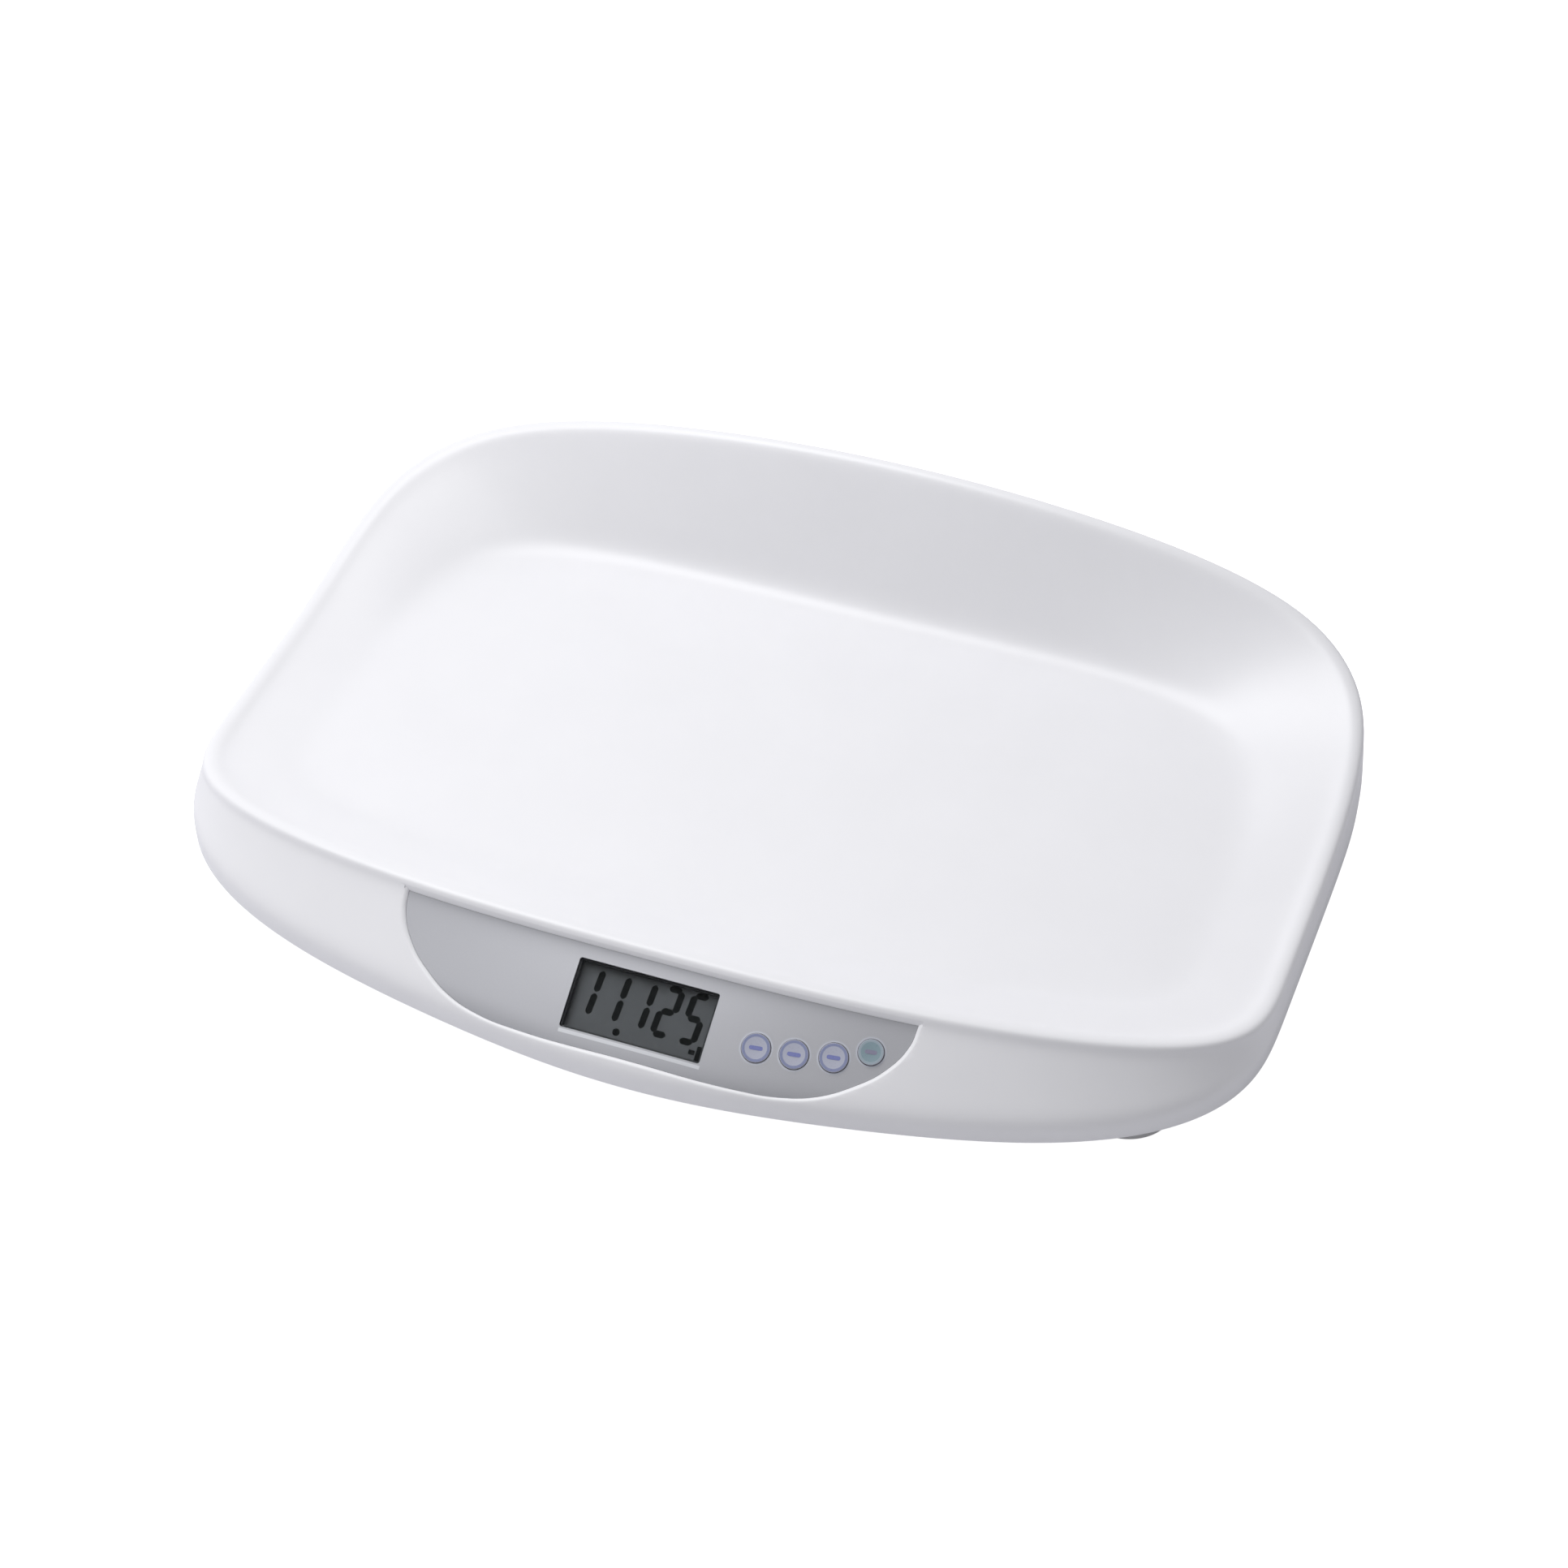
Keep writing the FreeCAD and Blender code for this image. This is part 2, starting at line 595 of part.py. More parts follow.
def base_cover():
    """Bottom moulding: edge, battery and foot wells, and two stiffening ribs on the screw lines."""
    outer = arc_prism(skirt_radius, -COVER_INSET, COVER_Z, UPSTAND_Z)
    hollow = arc_prism(skirt_radius, -COVER_INSET - UPSTAND, COVER_Z + COVER, UPSTAND_Z)
    limit = arc_prism(skirt_radius, -COVER_INSET, COVER_Z, FLOOR_Z)
    added = [battery_well(BATTERY_WALL, BATTERY_ROOF_Z + BATTERY_WALL)]
    for x, y in FEET.values():
        well = cylinder(FOOT_WELL + FOOT_WELL_WALL, COVER_Z, WELL_ROOF_Z + WELL_ROOF, x, y)
        added.append(well.common(limit))
    added += [block(2 * FOOT_X, RIB, COVER_Z, RIB_Z, 0, y + RIB_OFFSET) for y in SCREW_ROWS]
    cuts = [battery_well(0, BATTERY_ROOF_Z), hinge_pin(PIN_RADIUS + PIN_GAP, PIN_LENGTH + PIN_END_GAP)]
    for x, y in FEET.values():
        cuts += foot_well_cuts(x, y)
    cuts += [cylinder(SCREW_HOLE_RADIUS, COVER_Z, POST_Z, x, y) for x, y in SCREWS]
    return outer.cut(hollow).multiFuse(added).cut(cuts)


def housing_screws():
    return group([screw(x, y, COVER_Z, *SCREW) for x, y in SCREWS])


def battery_door():
    """Door with a rounded hinge edge, two hinge pins, finger grips and a latch tongue between slots."""
    x, y = BATTERY_SPOT
    size_x = BATTERY_WELL[0] - 2 * DOOR_GAP
    far_y = y + BATTERY_WELL[1] / 2 - DOOR_GAP
    plate = block(size_x, far_y - hinge_line(), COVER_Z, COVER_Z + DOOR, x, (far_y + hinge_line()) / 2)
    barrel = hinge_pin(DOOR / 2, -DOOR_GAP)
    width, length, apart = LATCH_SLOT
    middle_y = far_y - length / 2
    slots = [block(width, length, COVER_Z, COVER_Z + DOOR, x + dx, middle_y) for dx in (-apart, apart)]
    grips = [block(*GRIP[:2], COVER_Z, COVER_Z + GRIP[2], x, far_y - dy) for dy in GRIP_SPOTS]
    return together([plate, barrel, hinge_pin(PIN_RADIUS, PIN_LENGTH)]).cut(slots + grips)


def cell_rows():
    """Y of each cell's axis, with the way that its nipple points."""
    first = BATTERY_SPOT[1] - (CELLS - 1) / 2 * CELL_PITCH
    return [(first + i * CELL_PITCH, 1 if i % 2 else -1) for i in range(CELLS)]


def battery_cells():
    """Four cells side by side, every other one turned round."""
    cells = []
    for y, way in cell_rows():
        body = Part.makeCylinder(CELL_RADIUS, CELL_BODY, V(-way * CELL_BODY / 2, y, CELL_CENTRE_Z), X * way)
        nipple = Part.makeCylinder(*NIPPLE, V(way * CELL_BODY / 2, y, CELL_CENTRE_Z), X * way)
        cells.append(body.fuse(nipple))
    return group(cells)


def battery_contacts():
    """Bent plate at each cell's nipple, and a bowed leaf at its flat end."""
    contacts = []
    wall = BATTERY_WELL[0] / 2
    nipple_x = CELL_BODY / 2 + NIPPLE[1]
    flat_x = CELL_BODY / 2
    leaf_x = wall - CONTACT
    half = CONTACT_SIDE / 2
    bow = [(leaf_x, -half), (flat_x, -LEAF_TIP), (flat_x, LEAF_TIP), (flat_x + 1.4 * CONTACT, LEAF_TIP),
           (leaf_x + 0.4 * CONTACT, 2 * CONTACT - half)]
    for y, way in cell_rows():
        plate = Part.makeBox(CONTACT, CONTACT_SIDE, CONTACT_SIDE, V(nipple_x, y - half, CELL_CENTRE_Z - half))
        foot_corner = V(nipple_x, y - half, CELL_CENTRE_Z + half - CONTACT)
        plus = plate.fuse(Part.makeBox(wall - nipple_x, CONTACT_SIDE, CONTACT, foot_corner))
        edge_y = y - LEAF_WIDTH / 2
        back = Part.makeBox(CONTACT, LEAF_WIDTH, CONTACT_SIDE, V(leaf_x, edge_y, CELL_CENTRE_Z - half))
        outline = [V(x, edge_y, CELL_CENTRE_Z + z) for x, z in bow + bow[:1]]
        minus = back.fuse(Part.Face(Part.makePolygon(outline)).extrude(Y * LEAF_WIDTH))
        if way < 0:
            plus = plus.mirror(V(), X)
        else:
            minus = minus.mirror(V(), X)
        contacts += [plus, minus]
    return group(contacts)


# ---- the four weighing feet

def foot_pad(x, y):
    return cylinder(PAD_RADIUS, 0, PAD, x, y)


def foot_body(x, y):
    """Disc that stands on the pad, with a stem that carries the load cell's tongue."""
    return cylinder(FOOT_RADIUS, PAD, FOOT_TOP_Z, x, y).fuse(cylinder(STEM, FOOT_TOP_Z, CELL_Z, x, y))


def load_cell(x, y):
    """Steel plate with a U-shaped slot: the middle tongue rests on the foot's stem."""
    top = CELL_Z + CELL_THICKNESS
    inner = LOAD_CELL - 2 * CELL_BEAM
    width, length = CELL_TONGUE
    frame = block(LOAD_CELL, LOAD_CELL, CELL_Z, top, x, y).cut(block(inner, inner, CELL_Z, top, x, y))
    return together([frame, block(width, length, CELL_Z, top, x, y - (inner - length) / 2)])


def load_cell_carriers():
    """Discs that snap into the wells under the load cells, open in the middle for the feet's stems."""
    carriers = []
    for x, y in FEET.values():
        disc = cylinder(FOOT_WELL - CARRIER_GAP, CARRIER_Z, WELL_ROOF_Z, x, y)
        pocket = block(LOAD_CELL + CARRIER_GAP, LOAD_CELL + CARRIER_GAP, CELL_Z, WELL_ROOF_Z, x, y)
        hole = cylinder(STEM + STEM_ROOM, CARRIER_Z, CELL_Z, x, y)
        carriers.append(together([disc, lugs(x, y, 0)]).cut([pocket, hole]))
    return group(carriers)


def build():
    os.makedirs("parts", exist_ok=True)
    skin = skin_solid(0)
    frames = {"display": face_frame(skin, DISPLAY_X, DISPLAY_Z), "keys": face_frame(skin, KEY_X, KEY_Z)}
    parts = {
        "tray_shell": tray_shell(frames),
        "display_panel": display_panel(frames),
        "display_window": display_window(frames),
        "display_holder": display_holder(frames),
        "display_glass": display_glass(frames),
        "contact_strip": contact_strip(frames),
        "control_board": control_board(frames),
        "key_board": key_board(frames),
        "key_switches": key_switches(frames),
        "board_screws": board_screws(frames),
        "board_components": board_components(frames),
        "lead_terminals": lead_terminals(frames),
        "buzzer": buzzer(frames),
        "base_cover": base_cover(),
        "housing_screws": housing_screws(),
        "battery_door": battery_door(),
        "battery_cells": battery_cells(),
        "battery_contacts": battery_contacts(),
        "load_cell_carriers": load_cell_carriers(),
    }
    for name, (x, y, radius) in KEYS.items():
        parts[name] = key(frames, x, y, radius)
    for corner, (x, y) in FEET.items():
        parts[corner + "_foot_pad"] = foot_pad(x, y)
        parts[corner + "_foot_body"] = foot_body(x, y)
        parts[corner + "_load_cell"] = load_cell(x, y)
    for name, shape in parts.items():
        shape.exportStep(f"parts/{name}.step")
    return parts


if __name__ == "__main__":
    build()
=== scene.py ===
import logging
import math
from collections.abc import Callable
from dataclasses import dataclass
from enum import Enum

import bpy
import numpy as np
from mathutils import Matrix, Vector
from mathutils.bvhtree import BVHTree


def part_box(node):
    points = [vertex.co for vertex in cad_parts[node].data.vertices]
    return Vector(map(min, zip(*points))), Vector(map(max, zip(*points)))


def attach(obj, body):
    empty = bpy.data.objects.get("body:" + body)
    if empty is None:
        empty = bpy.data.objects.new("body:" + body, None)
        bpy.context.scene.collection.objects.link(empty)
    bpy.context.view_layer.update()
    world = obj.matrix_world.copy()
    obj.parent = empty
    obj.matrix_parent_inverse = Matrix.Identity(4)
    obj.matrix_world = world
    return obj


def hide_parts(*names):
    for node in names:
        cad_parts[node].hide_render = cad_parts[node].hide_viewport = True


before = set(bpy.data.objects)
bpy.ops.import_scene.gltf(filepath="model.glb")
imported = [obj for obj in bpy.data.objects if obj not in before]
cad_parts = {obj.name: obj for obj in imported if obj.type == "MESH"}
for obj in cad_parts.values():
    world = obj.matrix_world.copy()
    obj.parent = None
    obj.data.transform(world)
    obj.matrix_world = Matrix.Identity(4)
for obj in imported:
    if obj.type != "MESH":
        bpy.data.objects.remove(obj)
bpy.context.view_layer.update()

LOG = logging.getLogger("baby_scale")
MM = 0.001
# Two lengths in millimetres this close count as one, and so do two points in metres.
CLOSE, MERGE = 0.01, 1e-7
# A face whose normal points this far along an axis faces that way.
FACING = 0.9
# Sockets of a Mix node, which share their names: two colours and the result, and two numbers.
COLOUR_A, COLOUR_B, COLOUR_OUT = 6, 7, 2
FLOAT_A, FLOAT_B = 2, 3

Piece = bpy.types.Object
Material = bpy.types.Material
Socket = bpy.types.NodeSocket
Tree = bpy.types.NodeTree
Pair = tuple[float, float]
Triple = tuple[float, float, float]
Colour = tuple[float, float, float, float]


# ---------------- shading helpers

def linear(code: str) -> Colour:
    """Turns an sRGB hex value into linear colour.

    Args:
        code: six hex digits, with or without a leading mark.

    Returns:
        Red, green, blue and an alpha of one.
    """
    digits = code.lstrip("#")
    channels = [int(digits[i:i + 2], 16) / 255 for i in (0, 2, 4)]
    curve = [c / 12.92 if c <= 0.04045 else ((c + 0.055) / 1.055) ** 2.4 for c in channels]
    return (*curve, 1.0)


def darker(colour: Colour, share: float) -> Colour:
    """Takes a share off a colour."""
    return (*(c * (1 - share) for c in colour[:3]), 1.0)


def add_node(tree: Tree, kind: str, settings: dict | None = None,
             links: dict | None = None) -> bpy.types.Node:
    """Adds one shader node with its settings and links.

    Args:
        tree: the node tree that gets the node.
        kind: Blender's type name of the node.
        settings: attributes by name, or socket values where no attribute has that name.
        links: input sockets by name or number, each with the output socket that feeds it.

    Returns:
        The new node.
    """
    made = tree.nodes.new(kind)
    for key, value in (settings or {}).items():
        if isinstance(key, str) and hasattr(made, key):
            setattr(made, key, value)
        else:
            made.inputs[key].default_value = value
    for key, source in (links or {}).items():
        tree.links.new(source, made.inputs[key])
    return made


def emptied(owner: bpy.types.ID) -> Tree:
    """Gives a material or a world an empty node tree.

    Args:
        owner: the material or world.

    Returns:
        Its node tree.
    """
    owner.use_nodes = True
    owner.node_tree.nodes.clear()
    return owner.node_tree


# ---------------- modelling helpers

def only(piece: Piece) -> Piece:
    """Makes a piece the only selected and the active object.

    Args:
        piece: the piece.

    Returns:
        The same piece.
    """
    bpy.ops.object.select_all(action="DESELECT")
    piece.select_set(True)
    bpy.context.view_layer.objects.active = piece
    return piece


def settle(piece: Piece, name: str) -> Piece:
    """Names a new piece and puts its place, turn and size into its mesh.

    Args:
        piece: the piece.
        name: its name.

    Returns:
        The same piece.
    """
    only(piece)
    piece.name = name
    bpy.ops.object.transform_apply(location=True, rotation=True, scale=True)
    return piece


def apply_modifier(piece: Piece, kind: str, **settings: object) -> Piece:
    """Adds a modifier with its settings and applies it.

    Args:
        piece: the mesh piece.
        kind: Blender's type name of the modifier.
        **settings: the modifier's attributes.

    Returns:
        The piece.
    """
    only(piece)
    bpy.ops.object.modifier_add(type=kind)
    modifier = piece.modifiers[-1]
    for key, value in settings.items():
        setattr(modifier, key, value)
    bpy.ops.object.modifier_apply(modifier=modifier.name)
    return piece


class Cut(Enum):
    """What a boolean does with the second shape."""

    AWAY = "DIFFERENCE"
    KEEP_COMMON = "INTERSECT"


def combine(piece: Piece, other: Piece, how: Cut, keep_other: bool = False) -> Piece:
    """Cuts one closed mesh with another, or keeps what the two share.

    Args:
        piece: the mesh that is changed.
        other: the mesh that it is combined with.
        how: the kind of cut.
        keep_other: whether the second mesh stays in the scene.

    Returns:
        The changed piece.
    """
    apply_modifier(piece, "BOOLEAN", operation=how.value, object=other, solver="MANIFOLD")
    if not keep_other:
        bpy.data.objects.remove(other)
    return piece


def smooth(piece: Piece, degrees: float) -> Piece:
    """Shades a piece smooth, with sharp edges past an angle.

    Args:
        piece: the piece.
        degrees: the angle past which an edge stays sharp.

    Returns:
        The same piece.
    """
    only(piece)
    bpy.ops.object.shade_smooth_by_angle(angle=math.radians(degrees))
    return piece


def dress(piece: Piece, *materials: Material) -> Piece:
    """Gives a piece these materials in place of its own.

    Args:
        piece: the piece.
        *materials: its materials, in the order of their slots.

    Returns:
        The same piece.
    """
    piece.data.materials.clear()
    for material in materials:
        piece.data.materials.append(material)
    return piece


def join(pieces: list[Piece], name: str) -> Piece:
    """Joins several pieces into one object.

    Args:
        pieces: the pieces, of which the first takes up the others.
        name: the name of the whole.

    Returns:
        The joined piece.
    """
    bpy.ops.object.select_all(action="DESELECT")
    for piece in pieces:
        piece.select_set(True)
    bpy.context.view_layer.objects.active = pieces[0]
    bpy.ops.object.join()
    pieces[0].name = name
    return pieces[0]


def place(piece: Piece, matrix: Matrix) -> Piece:
    """Moves a piece's mesh by a frame, leaving its object at the origin.

    Args:
        piece: the piece.
        matrix: the frame, in metres.

    Returns:
        The same piece.
    """
    piece.data.transform(matrix)
    piece.data.update()
    return piece


class Part(Enum):
    """What is picked in edit mode."""

    EDGES = "EDGE"
    FACES = "FACE"


def pick(piece: Piece, kind: Part, chosen: Callable[[object], bool]) -> None:
    """Enters edit mode with only some of a piece's edges or faces selected.

    Args:
        piece: the active piece.
        kind: edges or faces.
        chosen: tells of an edge or a face whether it is selected.
    """
    bpy.ops.object.mode_set(mode="EDIT")
    bpy.ops.mesh.select_mode(type=kind.value)
    bpy.ops.mesh.select_all(action="DESELECT")
    bpy.ops.object.mode_set(mode="OBJECT")
    for part in piece.data.edges if kind is Part.EDGES else piece.data.polygons:
        part.select = chosen(part)
    bpy.ops.object.mode_set(mode="EDIT")


def turn_outward() -> None:
    """Turns every face of the edited piece outward and leaves edit mode."""
    bpy.ops.mesh.select_all(action="SELECT")
    bpy.ops.mesh.normals_make_consistent(inside=False)
    bpy.ops.object.mode_set(mode="OBJECT")


def block(size: Triple, centre: Triple, name: str, corner: float = 0.0,
          corner_steps: int = 6) -> Piece:
    """Builds a box with optional rounded uprights, in millimetres.

    Args:
        size: length along X, Y and Z.
        centre: its middle.
        name: the piece's name.
        corner: radius of the four edges along Z.
        corner_steps: flats of each rounding.

    Returns:
        The piece, with its place in its mesh.
    """
    bpy.ops.mesh.primitive_cube_add(size=1, location=[c * MM for c in centre])
    piece = bpy.context.object
    piece.scale = [s * MM for s in size]
    settle(piece, name)

    def upright(edge: bpy.types.MeshEdge) -> bool:
        """Tells whether an edge runs along Z."""
        a, b = (piece.data.vertices[i].co for i in edge.vertices)
        return abs(a.z - b.z) > abs(a.x - b.x) + abs(a.y - b.y)

    if corner:
        pick(piece, Part.EDGES, upright)
        bpy.ops.mesh.bevel(offset=corner * MM, segments=corner_steps)
        bpy.ops.object.mode_set(mode="OBJECT")
    return piece


def band(points: np.ndarray, name: str) -> Piece:
    """Builds a closed body from rings of points, with a flat cap at each end.

    A grid is shaped to the points, its seam is merged and its two open ends are filled.

    Args:
        points: places in metres, by step around and then by ring.
        name: the piece's name.

    Returns:
        The closed body, its faces turned outward.
    """
    around, rings = points.shape[:2]
    bpy.ops.mesh.primitive_grid_add(x_subdivisions=around, y_subdivisions=rings - 1)
    piece = settle(bpy.context.object, name)
    wrapped = np.concatenate([points, points[:1]])
    piece.data.vertices.foreach_set("co", np.swapaxes(wrapped, 0, 1).reshape(-1))
    bpy.ops.object.mode_set(mode="EDIT")
    bpy.ops.mesh.select_all(action="SELECT")
    bpy.ops.mesh.remove_doubles(threshold=MERGE)
    bpy.ops.mesh.fill_holes(sides=0)
    turn_outward()
    return piece


def drum(radius: float, low: float, high: float, name: str, spot: Pair, sides: int) -> Piece:
    """Builds an upright cylinder between two heights, in millimetres.

    Args:
        radius: its radius.
        low: height of its underside.
        high: height of its top.
        name: the piece's name.
        spot: its middle in plan.
        sides: flats around it.

    Returns:
        The piece.
    """
    centre = (spot[0] * MM, spot[1] * MM, (low + high) / 2 * MM)
    bpy.ops.mesh.primitive_cylinder_add(vertices=sides, radius=radius * MM,
                                        depth=(high - low) * MM, location=centre)
    return settle(bpy.context.object, name)


# ---------------- finishes

@dataclass(frozen=True)
class Finish:
    """One finish of the object, with its patterns on the piece's own coordinates."""

    name: str

    def shader(self, tree: Tree, spot: Socket) -> Socket:
        """Adds the finish's nodes to an empty tree and gives what leaves the shader."""
        raise NotImplementedError

    def material(self) -> Material:
        """Builds the material.

        Returns:
            The material.
        """
        made = bpy.data.materials.new(self.name)
        tree = emptied(made)
        spot = add_node(tree, "ShaderNodeTexCoord").outputs["Object"]
        surface = self.shader(tree, spot)
        add_node(tree, "ShaderNodeOutputMaterial", {}, {"Surface": surface})
        return made


@dataclass(frozen=True)
class MouldedPlastic(Finish):
    """Injection-moulded plastic: one colour, a fine spark-eroded grain and uneven gloss.

    The real grain is below 0.1 mm, too fine to show, and is drawn 0.9 mm wide.
    """

    colour: str
    roughness: float = 0.42
    gloss_range: float = 0.04
    cloud_mm: float = 40.0
    grain_mm: float = 0.9
    grain: float = 0.04
    grain_depth_mm: float = 0.05
    spread: Pair = (0.3, 0.7)
    shade: float = 0.03
    clear: float = 0.0
    clear_roughness: float = 0.15
    shine: float = 0.5
    ior: float = 1.53

    def shader(self, tree: Tree, spot: Socket) -> Socket:
        """Gives a faintly cloudy tone, grain as bump and gloss that wanders a little.

        Args:
            tree: the material's nodes.
            spot: place on the piece, as the object's coordinates.

        Returns:
            What leaves the shader.
        """
        low, high = self.spread
        cloud = add_node(tree, "ShaderNodeTexNoise",
                         {"Scale": 1 / (self.cloud_mm * MM), "Detail": 3.0}, {"Vector": spot})
        tone = add_node(tree, "ShaderNodeValToRGB", {}, {"Fac": cloud.outputs["Fac"]})
        base = linear(self.colour)
        for stop, where, colour in zip(tone.color_ramp.elements, self.spread,
                                       (darker(base, self.shade), base)):
            stop.position, stop.color = where, colour
        grain = add_node(tree, "ShaderNodeTexNoise",
                         {"Scale": 1 / (self.grain_mm * MM), "Detail": 2.0}, {"Vector": spot})
        gloss = add_node(tree, "ShaderNodeMapRange",
                         {"From Min": low, "From Max": high,
                          "To Min": self.roughness - self.gloss_range,
                          "To Max": self.roughness + self.gloss_range},
                         {"Value": grain.outputs["Fac"]})
        bump = add_node(tree, "ShaderNodeBump",
                        {"Strength": self.grain, "Distance": self.grain_depth_mm * MM},
                        {"Height": grain.outputs["Fac"]})
        shader = add_node(tree, "ShaderNodeBsdfPrincipled",
                          {"IOR": self.ior, "Specular IOR Level": self.shine,
                           "Coat Weight": self.clear, "Coat Roughness": self.clear_roughness},
                          {"Base Color": tone.outputs["Color"],
                           "Roughness": gloss.outputs["Result"],
                           "Normal": bump.outputs["Normal"]})
        return shader.outputs["BSDF"]


@dataclass(frozen=True)
class SilverOverlay(Finish):
    """Polycarbonate film printed silver from behind, paler round each key, with a painted
    highlight in one line.

    The line is a painted highlight that stands for the lit lower wall of the window's opening. It
    lies below the window, and its place is in the millimetres of the display's frame.
    Real flakes are below 0.05 mm, too fine to show, and are drawn 0.35 mm wide.
    """

    halos: tuple[tuple[Vector, float], ...] = ()
    at: Matrix = Matrix()
    # Painted highlight: a pale line below the window stands for light caught by the opening's
    # lower wall.
    painted_highlight_centre: Pair = (0.4, -18.6)
    painted_highlight_size: Pair = (70.4, 1.8)
    painted_highlight_edge: Pair = (0.1, -0.2)
    painted_highlight_colour: str = "#E3E5E9"
    halo_edge: Pair = (1.5, 0.9)
    halo_colour: str = "#D0D3DC"
    colour: str = "#C3C4C9"
    flake_mm: float = 0.35
    flake_shade: float = 0.06
    flake_bump: Pair = (0.03, 0.02)
    metallic: float = 0.42
    roughness: float = 0.46
    gloss_range: float = 0.05
    ior: float = 1.58

    def shader(self, tree: Tree, spot: Socket) -> Socket:
        """Gives flakes that vary tone and gloss a little, pale rings round the keys and a painted
        highlight below the window.

        Args:
            tree: the material's nodes.
            spot: place on the piece, as the object's coordinates.

        Returns:
            What leaves the shader.
        """
        flakes = add_node(tree, "ShaderNodeTexVoronoi", {"Scale": 1 / (self.flake_mm * MM)},
                          {"Vector": spot})
        base = linear(self.colour)
        tone = add_node(tree, "ShaderNodeValToRGB", {}, {"Fac": flakes.outputs["Distance"]})
        for stop, shade in zip(tone.color_ramp.elements, (self.flake_shade, 0)):
            stop.color = darker(base, shade)
        gloss = add_node(tree, "ShaderNodeMapRange",
                         {"To Min": self.roughness - self.gloss_range,
                          "To Max": self.roughness + self.gloss_range},
                         {"Value": flakes.outputs["Distance"]})
        strength, depth = self.flake_bump
        bump = add_node(tree, "ShaderNodeBump", {"Strength": strength, "Distance": depth * MM},
                        {"Height": flakes.outputs["Distance"]})
        # Painted highlight: a pale line below the window, standing for the light caught by the
        # opening's lower wall.
        colour = self.line(tree, spot, tone.outputs["Color"])
        for centre, radius in self.halos:
            away = add_node(tree, "ShaderNodeVectorMath", {"operation": "DISTANCE", 1: centre},
                            {0: spot})
            edge = [(radius + reach) * MM for reach in self.halo_edge]
            colour = self.printed(tree, self.halo_colour, edge, away.outputs["Value"], colour)
        shader = add_node(tree, "ShaderNodeBsdfPrincipled",
                          {"Metallic": self.metallic, "IOR": self.ior},
                          {"Base Color": colour, "Roughness": gloss.outputs["Result"],
                           "Normal": bump.outputs["Normal"]})
        return shader.outputs["BSDF"]

    def printed(self, tree: Tree, ink: str, edge: list[float], away: Socket,
                colour: Socket) -> Socket:
        """Lays a colour over another: printed ink round the keys, and a painted highlight in the
        line below the window.

        Args:
            tree: the material's nodes.
            ink: the hex value of the print or of the painted highlight.
            edge: distances in metres at which the print or painted highlight begins and is full.
            away: distance from the printed or painted shape.
            colour: the colour beneath.

        Returns:
            The colour with the print or painted highlight on it.
        """
        share = add_node(tree, "ShaderNodeMapRange", {"From Min": edge[0], "From Max": edge[1]},
                         {"Value": away})
        mixed = add_node(tree, "ShaderNodeMix", {"data_type": "RGBA", COLOUR_B: linear(ink)},
                         {0: share.outputs["Result"], COLOUR_A: colour})
        return mixed.outputs[COLOUR_OUT]

    def line(self, tree: Tree, spot: Socket, colour: Socket) -> Socket:
        """Lays the painted highlight, a pale line below the window, over a colour.

        Args:
            tree: the material's nodes.
            spot: place on the film, as the object's coordinates.
            colour: the colour beneath.

        Returns:
            The colour with the painted highlight on it.
        """
        middle = self.at @ Vector((self.painted_highlight_centre[0] * MM, self.painted_highlight_centre[1] * MM, 0))
        local = add_node(tree, "ShaderNodeMapping",
                         {"vector_type": "TEXTURE", "Location": middle,
                          "Rotation": self.at.to_euler()}, {"Vector": spot})
        away = add_node(tree, "ShaderNodeVectorMath", {"operation": "ABSOLUTE"},
                        {0: local.outputs["Vector"]})
        half = (self.painted_highlight_size[0] / 2 * MM, self.painted_highlight_size[1] / 2 * MM, 0)
        past = add_node(tree, "ShaderNodeVectorMath", {"operation": "SUBTRACT", 1: half},
                        {0: away.outputs["Vector"]})
        parts = add_node(tree, "ShaderNodeSeparateXYZ", {}, {0: past.outputs["Vector"]})
        farther = add_node(tree, "ShaderNodeMath", {"operation": "MAXIMUM"},
                           {0: parts.outputs["X"], 1: parts.outputs["Y"]})
        # Painted highlight: full inside the band, fading out at its edge.
        edge = [reach * MM for reach in self.painted_highlight_edge]
        return self.printed(tree, self.painted_highlight_colour, edge, farther.outputs["Value"], colour)


@dataclass(frozen=True)
class ClearAcrylic(Finish):
    """Clear moulded acrylic: its IOR is that of a coating against glare, so it mirrors little."""

    tint: str = "#EEF2F2"
    ior: float = 1.18
    wipe_mm: float = 3.0
    gloss: Pair = (0.02, 0.07)

    def shader(self, tree: Tree, spot: Socket) -> Socket:
        """Gives gloss broken by fine wiping marks, and lets light pass straight in.

        Args:
            tree: the material's nodes.
            spot: place on the piece, as the object's coordinates.

        Returns:
            What leaves the shader.
        """
        wipes = add_node(tree, "ShaderNodeTexNoise",
                         {"Scale": 1 / (self.wipe_mm * MM), "Detail": 4.0}, {"Vector": spot})
        gloss = add_node(tree, "ShaderNodeMapRange",
                         {"To Min": self.gloss[0], "To Max": self.gloss[1]},
                         {"Value": wipes.outputs["Fac"]})
        tint = linear(self.tint)
        shader = add_node(tree, "ShaderNodeBsdfPrincipled",
                          {"Base Color": tint, "IOR": self.ior, "Transmission Weight": 1.0},
                          {"Roughness": gloss.outputs["Result"]})
        ray = add_node(tree, "ShaderNodeLightPath")
        through = add_node(tree, "ShaderNodeBsdfTransparent", {"Color": tint})
        mixed = add_node(tree, "ShaderNodeMixShader", {},
                         {0: ray.outputs["Is Shadow Ray"], 1: shader.outputs["BSDF"],
                          2: through.outputs["BSDF"]})
        return mixed.outputs["Shader"]


